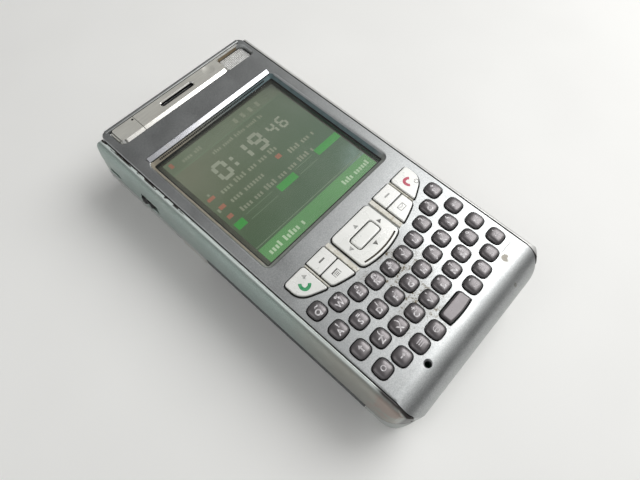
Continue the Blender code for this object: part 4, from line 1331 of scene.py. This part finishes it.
def stylus():
    """The stylus: a flat head that ends the silver bar, a neck down through the step, and a round shaft."""
    x1 = STYLUS_SEAM_X - SEAM_GAP / 2

    def plan(t):
        side = [(x1, BAR_Y[0] + BAR_BEVEL * t), (x1, BAR_Y[1])]
        back = arc(BAR_X0 + 0.6 + BAR_SIDE_BEVEL * t, BAR_Y[1] - 0.6, 0.6, 0.6, 90, 180, 6)
        return bar_corner(BAR_X0, -1, t) + side + back

    piece = bar_part("stylus_body", plan)
    x, z, r = STYLUS_SHAFT
    neck = box("stylus_neck", STYLUS_NECK_X, STYLUS_NECK_Y, (z, STEP_Z + 1))
    tip = STYLUS_TIP_Y
    rings = (
        (0.12, tip), (0.28, tip + 0.08), (0.35, tip + 0.3), (0.42, tip + 1.4), (r, tip + 5.0),
        (r, tip + 30), (r - 0.12, tip + 30.1), (r - 0.12, tip + 30.7), (r, tip + 30.8),
        (r, Y_END - 1.6), (r - 0.4, Y_END - 1.0),
    )
    sections = [(circle(x, z, size, 24), y) for size, y in rings]
    combine(piece, "UNION", (neck, loft("stylus_shaft", sections, "Y")))
    dot = circle(STYLUS_SEAM_X - 0.7, BAR_Y[1] - 0.9, 0.34, 12)
    cut(piece, prism("seam_dot_tool", dot, BAR_HIGH.z - 0.4, BAR_HIGH.z + 1))
    polished_rims_and_slot_shading(piece)
    return finished(smoothed(piece, 25), "polished", "stylus", "stylus")


def lip_stretch(name, x0, x1, body):
    """A stretch of the grey lip that stands along the top end behind the bar."""
    y0, y1, top = BAR_Y[1] + LIP_GAP, Y_END, FRONT_Z + LIP_RISE
    crest = y0 + 0.35 * (y1 - y0)
    outer = arc(crest, top - 1.1, y1 - crest, 1.1, 0, 90, 14)
    profile = [(y0, BAR_LOW.z), (y1, BAR_LOW.z)] + outer + arc(crest, top - 0.3, crest - y0, 0.3, 100, 180, 6)
    lip = prism(name, profile, x0, x1, "X")
    corner = end_rounded(COVER_X, Y_END, *COVER_PLAN_R)
    combine(lip, "INTERSECT", (prism("lip_plan", corner, 0, FRONT_Z + 2),))
    return finished(smoothed(lip), "lip", body)


def top_lip():
    """The lip; the stylus carries one stretch of it away."""
    lip_stretch("top_lip", STYLUS_SEAM_X + 0.02, BAR_HIGH.x + 0.9, "casing")
    lip_stretch("stylus_lip", BAR_X0 - 0.9, STYLUS_SEAM_X - 0.02, "stylus")
    y0 = BAR_Y[1] + LIP_GAP
    across = (BAR_X0 + 1, STYLUS_SEAM_X - 1)
    link = box("stylus_lip_link", across, (y0 - LIP_GAP - 0.6, y0 + 0.1), (BAR_LOW.z + 0.2, BAR_LOW.z + 0.7))
    finished(link, "black", "stylus")


def tube(path, radius, sides=6):
    """Points and faces of a closed tube along a path."""
    rings = []
    for i, here in enumerate(path):
        ahead = Vector(path[min(i + 1, len(path) - 1)]) - Vector(path[max(i - 1, 0)])
        side = ahead.cross(Vector((0, 0, 1))).normalized()
        up = side.cross(ahead).normalized()
        angles = [2 * math.pi * k / sides for k in range(sides)]
        rings.append([Vector(here) + radius * (math.cos(a) * side + math.sin(a) * up) for a in angles])
    return skinned(rings)


def woven_wires():
    """The loudspeaker's woven mesh: wires in both directions that pass over and under each other."""
    pitch, radius, lift = 0.55, 0.14, 0.1
    z = GRILLE_HIGH.z - 0.25
    x0, y0 = BAR_X1 + 0.1, GRILLE_LOW.y - 0.1
    columns = int((GRILLE_HIGH.x + 0.1 - x0) / pitch)
    rows = int((BAR_Y[1] - BAR_ARM_W - 0.1 - y0) / pitch)
    wires = []
    for i in range(columns + 1):
        waves = [(pitch * k / 2, lift * math.cos(math.pi * (k / 2 + i))) for k in range(rows * 2 + 1)]
        wires.append([(x0 + i * pitch, y0 + along, z + wave) for along, wave in waves])
    for j in range(rows + 1):
        waves = [(pitch * k / 2, lift * math.cos(math.pi * (k / 2 + j))) for k in range(columns * 2 + 1)]
        wires.append([(x0 + along, y0 + j * pitch, z - wave) for along, wave in waves])
    return appended(tube(path, radius) for path in wires)


def speaker_grille():
    obj = mesh_object("speaker_mesh", *woven_wires())
    obj.data.shade_smooth()
    finished(obj, "mesh", "casing", "speaker_grille")
    cloth = prism("speaker_cloth", grille_outline(GAP - 0.06), GRILLE_LOW.z - 0.25, GRILLE_LOW.z - 0.15)
    finished(cloth, "cloth", "casing")
    y1 = BAR_Y[1] - BAR_ARM_W
    across, tall = (BAR_X1 + 0.1, GRILLE_HIGH.x - 1.9), (GRILLE_HIGH.z + 0.02, FRONT_Z - 0.35)
    wall = box("speaker_wall", across, (y1 - 0.16, y1 - 0.02), tall)
    finished(bevelled(wall, 0.05), "wall", "casing")
    slot = prism("earpiece_cloth", grown(slot_outline(), -0.08), STEP_Z - STEP_FLOOR_T + 0.1, STEP_Z - 0.4)
    finished(slot, "black", "casing")


# ---------------------------------------------------------------- letter keys


def dome_height(share):
    """Height of a cap where share runs from 1 at its rim to 0 at its centre."""
    return KEY_WALL_Z + (KEY_PROUD - KEY_WALL_Z) * max(0.0, 1 - share**KEY_CROWN) ** (1 / KEY_CROWN)


def cap_height(x, y):
    """Height of a letter cap at a place about its centre."""
    w, h = KEY_SIZE
    share = (abs(2 * x / w) ** KEY_POWER + abs(2 * y / h) ** KEY_POWER) ** (1 / KEY_POWER)
    return dome_height(min(1.0, share))


def key_cap(name):
    """A letter key about its own origin at the cover's surface: stem, flange and domed cap."""
    w, h = KEY_SIZE
    width, foot = KEY_PLUNGER
    shares = [math.cos(math.radians(90 * i / 14)) for i in range(14)]  # dense at the rim
    sections = [
        (squircle(width, width), foot),
        (squircle(width, width), FLANGE_Z[0]),
        (squircle(w + 0.2, h + 1.4), FLANGE_Z[0]),
        (squircle(w + 0.2, h + 1.4), FLANGE_Z[1]),
        (squircle(w, h), FLANGE_Z[1]),
    ]
    sections += [(squircle(w * s, h * s), dome_height(s)) for s in shares]
    return smoothed(loft(name, sections), 50)


def letter_keys():
    """Every letter key shares one mesh; each rides on its own body."""
    blank = key_cap("letter_cap")
    blank.data.materials.append(LOOKS["key"])
    for node in LETTER_KEYS:
        key = linked(node + "_cap", blank.data, (*key_centre(node), FRONT_Z))
        flattened(key)
        finished(key, "key", node, node)
    bpy.data.objects.remove(blank)


def space_outline(by=0.0):
    """The space bar's plan: a rounded rectangle whose lower edge bows, pushed outwards by a distance."""
    w, h = SPACE_SIZE[0] / 2 + by, SPACE_SIZE[1] / 2 + by
    lower = [(w * (i / 8 - 1), 0.35 * (i / 8 - 1) ** 2 - h) for i in range(17)]
    return fillet(lower + [(w, h), (-w, h)], max(0.25, 1.25 + by), 10)


def space_bar():
    """The space bar: its rim rounds over to a flatter top than a letter key's."""
    sections = [(space_outline(), FLANGE_Z[0])]
    for i in range(11):
        a = math.radians(90 * i / 10)
        height = KEY_WALL_Z + (KEY_PROUD - KEY_WALL_Z) * math.sin(a) ** 0.8
        sections.append((space_outline(-0.6 * (1 - math.cos(a))), height))
    bar = loft("space_bar_cap", sections)
    bar.location = Vector((*key_centre("key_space"), FRONT_Z)) * MM
    return finished(smoothed(bar, 50), "key", "key_space", "key_space")


# ---------------------------------------------------------------- legends


def printed(bm, text, size, x, y):
    """Adds printed characters, centred on a place, as thin closed plates."""
    curve = bpy.data.curves.new("legend_text", "FONT")
    curve.body, curve.size = text, size
    curve.align_x = curve.align_y = "CENTER"
    curve.extrude, curve.offset = LEGEND_T, LEGEND_BOLD
    curve.resolution_u = 4
    obj = linked("legend_text", curve)
    bpy.context.view_layer.update()
    mesh = evaluated_mesh(obj)
    mesh.transform(Matrix.Translation((x, y, 0)))
    bm.from_mesh(mesh)
    bpy.data.objects.remove(obj)
    bpy.data.meshes.remove(mesh)


def plate(bm, outline, height=LEGEND_T):
    """Adds a thin closed plate with a given plan."""
    low = [bm.verts.new((x, y, -height)) for x, y in outline]
    high = [bm.verts.new((x, y, height)) for x, y in outline]
    bm.faces.new(low[::-1])
    bm.faces.new(high)
    for i in range(len(outline)):
        j = (i + 1) % len(outline)
        bm.faces.new([low[i], low[j], high[j], high[i]])


def stroke(x0, y0, x1, y1, width):
    """The plan of a straight stroke."""
    along = Vector((x1 - x0, y1 - y0))
    side = Vector((-along.y, along.x)).normalized() * width / 2
    start, end = Vector((x0, y0)), Vector((x1, y1))
    return [tuple(corner) for corner in (start - side, end - side, end + side, start + side)]


def arrow(size, degrees):
    """Plans of an arrow that points along +X before it is turned."""
    head = [(0.1 * size, -0.35 * size), (0.55 * size, 0), (0.1 * size, 0.35 * size)]
    tail = rectangle(-0.5 * size, 0.098 * size, -0.11 * size, 0.11 * size)
    return [turned(shape, degrees) for shape in (head, tail)]


def ring(radius, width, start=0, end=360, steps=20):
    """The plan of a ring or of part of one."""
    outer = arc(0, 0, radius, radius, start, end, steps)
    inner = arc(0, 0, radius - width, radius - width, end, start, steps)
    return outer + inner


def handset(size, degrees):
    """The plan of a telephone handset whose two ends point along +Y before it is turned."""
    outer = arc(0, 0.42 * size, 0.5 * size, 0.62 * size, 192, 348, 16)
    right = [(0.5 * size, 0.42 * size), (0.24 * size, 0.42 * size), (0.2 * size, 0.2 * size)]
    inner = arc(0, 0.46 * size, 0.22 * size, 0.38 * size, 322, 218, 10)
    left = [(-0.2 * size, 0.2 * size), (-0.24 * size, 0.42 * size), (-0.5 * size, 0.42 * size)]
    return turned(moved(outer + right + inner + left, 0, -0.15 * size), degrees)


def drape(bm, height, reach, cell):
    """Cuts flat plates into small cells and lays them on a curved cap."""
    count = int(reach / cell)
    for axis in (0, 1):
        for k in range(-count, count + 1):
            sliced(bm, axis, k * cell)
    for vertex in bm.verts:
        vertex.co.z += height(vertex.co.x, vertex.co.y)


def legend_object(name, bm, at, look, body):
    """Turns legend plates drawn about a place into a piece on that place."""
    mesh = bpy.data.meshes.new(name)
    bmesh.ops.recalc_face_normals(bm, faces=bm.faces)
    bm.to_mesh(mesh)
    bm.free()
    mesh.transform(Matrix.Scale(MM, 4))
    return finished(linked(name, mesh, at), look, body)


def function_signs():
    """Plans of the signs on the keys that carry no letter, about each key's centre."""
    dots = [moved(circle(0, 0, 0.16, 12), x, -0.55) for x in (-0.5, 0.5)]
    return {
        "delete": arrow(1.9, 180),
        "enter": arrow(1.7, 180) + [stroke(0.85, -0.16, 0.85, 0.75, 0.3)],
        "shift": arrow(1.9, 90),
        "fn": [ring(0.75, 0.26)],
        "tab": arrow(1.5, 0) + [stroke(1.05, -0.6, 1.05, 0.6, 0.22)],
        "menu": [rectangle(-0.8, 0.8, y - 0.11, y + 0.11) for y in (-0.55, 0, 0.55)],
        "globe": [ring(0.85, 0.2), rectangle(-0.6, 0.6, -0.09, 0.09)],
        "accent": [turned(stroke(-0.75, 0, 0.75, 0, 0.2), a) for a in (0, 60, 120)],
        "comma": dots[:1] + [stroke(0.35, -0.2, 0.6, -0.85, 0.22)],
        "period": dots,
    }


def key_legends():
    """Pale letters, digits and signs on the caps."""
    signs = function_signs()
    extra = {"comma": "9", "period": "*", "zero": "0", "symbol": "#", "accent": "'"}
    for node in LETTER_KEYS:
        name = node[len("key_"):]
        bm = bmesh.new()
        if name in LEGENDS:
            printed(bm, name.upper(), 2.15, -0.3, -0.68)
            printed(bm, LEGENDS[name], 1.9, 0.35, 0.85)
        for outline in signs.get(name, []):
            plate(bm, outline)
        if name in extra:
            printed(bm, extra[name], 1.9, 0.35, 0.75)
        if name in ("zero", "symbol"):
            plate(bm, moved(ring(0.5, 0.18), -0.4, -0.75))
        drape(bm, cap_height, 2.1, 0.35)
        at = (*key_centre(node), FRONT_Z)
        legend_object(node + "_legend", bm, at, "ink_white", node)


# ---------------------------------------------------------------- navigation cluster


def under_arc(x0, x1, top, arc_shape, radii, steps=14):
    """A key plan that follows the cluster's bowed border below; radii are lower left, lower right, upper."""
    left, right, upper = radii
    low0, low1 = bow(x0, *arc_shape), bow(x1, *arc_shape)
    a, b = x0 + left, x1 - right
    across = [a + (b - a) * i / steps for i in range(1, steps)]
    return (
        eased((x0, low0 + left), (x0, low0), (a, bow(a, *arc_shape)))
        + [(x, bow(x, *arc_shape)) for x in across]
        + eased((b, bow(b, *arc_shape)), (x1, low1), (x1, low1 + right))
        + arc(x1 - upper, top - upper, upper, upper, 0, 90, 6)
        + arc(x0 + upper, top - upper, upper, upper, 90, 180, 6)
    )


def end_outline():
    return under_arc(*CALL_X, NAV_TOP_Y, NAV_ARC, (0.7, 2.6, 0.9))


def low_outline():
    return under_arc(*SOFT_X, NAV_MID_Y - GAP / 2, NAV_ARC, (0.5, 0.9, 0.35))


def dpad_outline():
    return under_arc(-DPAD_X, DPAD_X, NAV_TOP_Y, DPAD_BOTTOM, (1.3, 1.3, 1.3), 22)


def nav_rooms():
    """Plans of the cluster's openings: a softkey shares one with the key below it."""
    pair = under_arc(*SOFT_X, NAV_TOP_Y, NAV_ARC, (0.5, 0.9, 0.35))
    return [end_outline(), pair, mirrored(end_outline()), mirrored(pair), dpad_outline()]


def nav_key(name, outline, node, edge=0.3):
    """A cap of the cluster: straight walls and a rounded upper edge."""
    top = FRONT_Z + NAV_PROUD
    sections = [(outline, FRONT_Z + FLANGE_Z[0])]
    for i in range(7):
        a = math.radians(90 * i / 6)
        sections.append((grown(outline, -edge * (1 - math.cos(a))), top - edge * (1 - math.sin(a))))
    return finished(smoothed(loft(name, sections), 50), "nav", node, node)


def nav_cap_keys():
    soft = fillet(rectangle(*SOFT_X, NAV_MID_Y + GAP / 2, NAV_TOP_Y), 0.4)
    for outline, right, left in (
        (end_outline(), "end_key", "call_key"),
        (soft, "softkey_right", "softkey_left"),
        (low_outline(), "mail_key", "menu_key"),
    ):
        nav_key(right + "_cap", outline, right)
        nav_key(left + "_cap", mirrored(outline), left)


def direction_pad():
    """The four-way pad: a rounded plate with a well for the centre key and a groove along its lower edge."""
    pad = nav_key("direction_pad_plate", dpad_outline(), "direction_pad", 0.32)
    pad.modifiers.clear()
    reach_x, reach_y = OK_SIZE[0] / 2 + GAP, OK_SIZE[1] / 2 + GAP
    well = rounded_rect(-reach_x, reach_x, OK_Y - reach_y, OK_Y + reach_y, 0.95)
    top = FRONT_Z + NAV_PROUD
    y0, radius = DPAD_BOTTOM
    xs = [-6.3 + 12.6 * i / 24 for i in range(25)]
    groove = [(x, bow(x, y0 + 0.66, radius)) for x in xs] + [(x, bow(x, y0 + 1.16, radius)) for x in reversed(xs)]
    cut(
        pad,
        mesh_object("ok_well", *lofted([flared(well, 0.2, top)])),
        prism("groove_tool", groove, top - 0.35, top + 1),
    )
    pad.data.materials.append(LOOKS["grime"])
    for face in pad.data.polygons:
        x, y, z = face.center / MM
        if abs(y - bow(x, y0 + 0.91, radius)) < 0.3 and abs(x) < 6.6 and top - 0.4 < z < top - 0.02:
            face.material_index = 1
    return smoothed(pad, 50)


def ok_key():
    w, h = OK_SIZE
    return nav_key("centre_key_cap", rounded_rect(-w / 2, w / 2, OK_Y - h / 2, OK_Y + h / 2, 0.75), "ok_key", 0.4)


def rib(name, x0, x1):
    """A pale rib between two keys of the cluster, resting on the cover's web."""
    low, top, edge = FRONT_Z - 0.05, FRONT_Z + 0.5, 0.12
    outline = under_arc(x0, x1, NAV_TOP_Y - 0.1, (NAV_ARC[0] + 0.15, NAV_ARC[1]), (0.15, 0.15, 0.15), 4)
    sections = [(outline, low), (outline, top - edge), (grown(outline, -edge), top)]
    return finished(smoothed(loft(name, sections), 40), "rib", "casing")


def nav_ribs():
    for side, flip in (("right", 1), ("left", -1)):
        inner = sorted((flip * (DPAD_X + 0.75), flip * (SOFT_X[0] - 0.42)))
        outer = sorted((flip * (SOFT_X[1] + 0.36), flip * (CALL_X[0] - 0.3)))
        rib("navigation_rib_inner_" + side, *inner)
        rib("navigation_rib_outer_" + side, *outer)


def sign(name, shapes, x, y, ink, body):
    """A flat printed sign on a cap of the cluster."""
    bm = bmesh.new()
    for outline in shapes:
        plate(bm, outline, 0.012)
    return legend_object(name, bm, (x, y, FRONT_Z + NAV_PROUD), "ink_" + ink, body)


def triangle(size, degrees):
    return turned([(-0.45 * size, -0.6 * size), (0.55 * size, 0), (-0.45 * size, 0.6 * size)], degrees)


def nav_signs():
    """Generic signs: handsets, dashes, a list, an envelope and four arrowheads."""
    call_x, call_y = key_centre("call_key")
    end_x, end_y = key_centre("end_key")
    sign("call_sign", [handset(3.4, -42)], call_x - 0.3, call_y - 0.1, "green", "call_key")
    speaker = [(-0.55, -0.3), (-0.1, -0.3), (0.5, -0.75), (0.5, 0.75), (-0.1, 0.3), (-0.55, 0.3)]
    sign("speaker_sign", [turned(speaker, 45)], call_x + 1.5, call_y + 1.9, "pale", "call_key")
    sign("end_sign", [handset(3.2, -135)], end_x - 0.6, end_y + 0.6, "red", "end_key")
    power = [ring(0.72, 0.17, 120, 420), rectangle(-0.09, 0.09, 0.25, 0.85)]
    sign("power_sign", power, end_x + 1.5, end_y - 1.3, "grey", "end_key")
    for node, ink in (("softkey_left", "grey"), ("softkey_right", "pale")):
        sign(node + "_sign", [rounded_rect(-1.0, 1.0, -0.24, 0.24, 0.12, 4)], *key_centre(node), ink, node)
    x, y = key_centre("menu_key")
    page = [rectangle(-1.1, 1.1, 0.45, 0.85)]
    page += [rectangle(-1.1, -0.95, -0.85, 0.43), rectangle(0.95, 1.1, -0.85, 0.43)]
    page += [rectangle(-0.7, 0.7, v - 0.09, v + 0.09) for v in (0.12, -0.3, -0.72)]
    sign("menu_sign", page, x, y + 0.5, "grey", "menu_key")
    x, y = key_centre("mail_key")
    frame_and_flap = (
        (-1.1, 0.75, 1.1, 0.75, 0.14), (-1.1, -0.75, 1.1, -0.75, 0.14), (-1.1, -0.68, -1.1, 0.68, 0.14),
        (1.1, -0.68, 1.1, 0.68, 0.14), (-0.98, 0.62, -0.04, -0.1, 0.12), (0.98, 0.62, 0.04, -0.1, 0.12),
    )
    sign("mail_sign", [stroke(*line) for line in frame_and_flap], x, y + 0.4, "grey", "mail_key")
    heads = ((5.9, 0, 0, "grey"), (-5.9, 0, 180, "pale"), (0, 3.6, 90, "pale"), (0, -3.7, 270, "grey"))
    for index, (dx, dy, degrees, ink) in enumerate(heads):
        sign(f"direction_sign_{index}", [triangle(1.25, degrees)], dx, OK_Y + dy, ink, "direction_pad")


# ---------------------------------------------------------------- side controls


def volume_rocker():
    y0, y1 = ROCKER_Y[0] + 0.8, ROCKER_Y[1]
    proud = X_SIDE + 0.1
    inner = -X_SIDE + 2.2
    xs = [(-proud + 0.2 + 0.16 * (1 - (2 * i / 12 - 1) ** 2), y1 - 1.0 - (y1 - y0 - 2.0) * i / 12) for i in range(13)]
    outline = [(inner, y0), (inner, y1), (-proud + 1.0, y1)] + xs + [(-proud + 1.0, y0)]
    rocker = prism("volume_rocker_bar", outline, *ROCKER_Z)
    finished(smoothed(bevelled(rocker, 0.35)), "polished", "volume_rocker", "volume_rocker")
    room = rounded_rect(y0 - 0.35, y1 + 0.5, ROCKER_Z[0] - 0.28, ROCKER_Z[1] + 0.28, 0.3)
    back = prism("rocker_recess", room, inner + 0.6, inner + 0.8, "X")
    finished(back, "black", "casing")


def side_switch():
    """A slide switch with a stepped, ribbed thumb grip."""
    y0, y1 = SWITCH_Y
    inner, outer = -COVER_X - 0.4, -X_SIDE
    outline = [
        (inner, y0), (inner, y1), (outer + 0.6, y1), (outer - 0.6, y1 - 0.8), (outer - 0.6, y1 - 1.7),
        (outer, y1 - 2.3), (outer - 0.4, y0 + 0.8), (outer + 0.6, y0),
    ]
    switch = prism("side_switch_grip", outline, *SWITCH_Z)
    finished(smoothed(bevelled(switch, 0.18)), "black", "side_switch", "side_switch")


def internals():
    repaint("main_board", "board")
    repaint("battery_pack", "wrap")


# ---------------------------------------------------------------- stage


CAMERA_AT = (-56.4, -48.4, 141.1)
CAMERA_TARGET = (-9.16, -11.13, 22.0)
CAMERA_ROLL = 4.42  # degrees
CAMERA_LENS = 28.25  # for a sensor 36 mm wide
ROOM_LIGHT = 0.11
BACKDROP = 0.8
WARM_WHITE = (1.0, 0.995, 0.985)
# Direction, cosine where the source begins, cosine where it is full, strength.
SOFT_SOURCES = (
    ((0.68, -0.12, 0.72), 0.76, 0.96, 1.05),
    ((0.45, -0.5, 0.74), 0.86, 0.98, 0.5),
    ((-0.55, 0.35, 0.75), 0.86, 0.98, 1.1),
)


def camera():
    data = bpy.data.cameras.new("camera")
    data.lens = CAMERA_LENS
    data.sensor_width = 36
    data.clip_start = 0.005
    obj = linked("camera", data)
    at, target = Vector(CAMERA_AT), Vector(CAMERA_TARGET)
    turn = (target - at).to_track_quat("-Z", "Y").to_matrix().to_4x4()
    roll = Matrix.Rotation(math.radians(CAMERA_ROLL), 4, "Z")
    obj.matrix_world = Matrix.Translation(at * MM) @ turn @ roll
    bpy.context.scene.camera = obj


def area_light(name, at, size, power, colour):
    """A round soft light at a place in metres, aimed at the device."""
    data = bpy.data.lights.new(name, "AREA")
    data.shape, data.size = "DISK", size
    data.energy, data.color = power, colour
    obj = linked(name, data, Vector(at) / MM)
    obj.rotation_euler = (-Vector(at)).to_track_quat("-Z", "Y").to_euler()


def studio_world():
    """A dim room with soft sources over the device's lower right and its upper left.

    Only reflections and light see the room; the camera itself sees a pale backdrop.
    """
    world = bpy.data.worlds.new("studio")
    bpy.context.scene.world = world
    world.use_nodes = True
    nodes, links = world.node_tree.nodes, world.node_tree.links
    background = nodes["Background"]
    coords = nodes.new("ShaderNodeTexCoord").outputs["Generated"]
    total = None
    for direction, start, full, power in SOFT_SOURCES:
        dot = nodes.new("ShaderNodeVectorMath")
        dot.operation = "DOT_PRODUCT"
        links.new(coords, dot.inputs[0])
        dot.inputs[1].default_value = Vector(direction).normalized()
        lobe = nodes.new("ShaderNodeMapRange")
        lobe.interpolation_type = "SMOOTHSTEP"
        links.new(dot.outputs["Value"], lobe.inputs[0])
        for index, value in enumerate((start, full, 0.0, power), 1):
            lobe.inputs[index].default_value = value
        add = nodes.new("ShaderNodeMath")
        links.new(lobe.outputs[0], add.inputs[0])
        if total:
            links.new(total, add.inputs[1])
        else:
            add.inputs[1].default_value = ROOM_LIGHT
        total = add.outputs[0]
    pick = nodes.new("ShaderNodeMix")
    links.new(nodes.new("ShaderNodeLightPath").outputs["Is Camera Ray"], pick.inputs[0])
    links.new(total, pick.inputs[2])
    pick.inputs[3].default_value = BACKDROP
    links.new(pick.outputs[0], background.inputs["Strength"])
    background.inputs["Color"].default_value = (*WARM_WHITE, 1)


def table():
    """The plain pale floor."""
    half = 1500.0
    obj = mesh_object("table", [(x, y, 0) for x, y in rectangle(-half, half, -half, half)], [range(4)])
    g = Graph("table_look")
    white = g.mix(g.cloud(60, 3, 0.3, 0.7), (242, 242, 240), (248, 248, 246))
    g.set(Base_Color=white, Roughness=0.6)
    obj.data.materials.append(g.material)


def stage():
    camera()
    studio_world()
    table()
    area_light("key_light", (0.345, -0.095, 0.42), 0.4, 1.45, WARM_WHITE)
    area_light("fill_light", (-0.35, -0.25, 0.35), 0.5, 0.25, (0.95, 0.98, 1.0))
    bpy.context.scene.view_settings.view_transform = "Standard"


front_cover()
mid_frame()
rear_cover()
battery_cover()
camera_window()
display()
window_seal()
display_trim()
earpiece_bar()
stylus()
top_lip()
speaker_grille()
letter_keys()
space_bar()
key_legends()
nav_cap_keys()
direction_pad()
ok_key()
nav_ribs()
nav_signs()
volume_rocker()
side_switch()
internals()
stage()
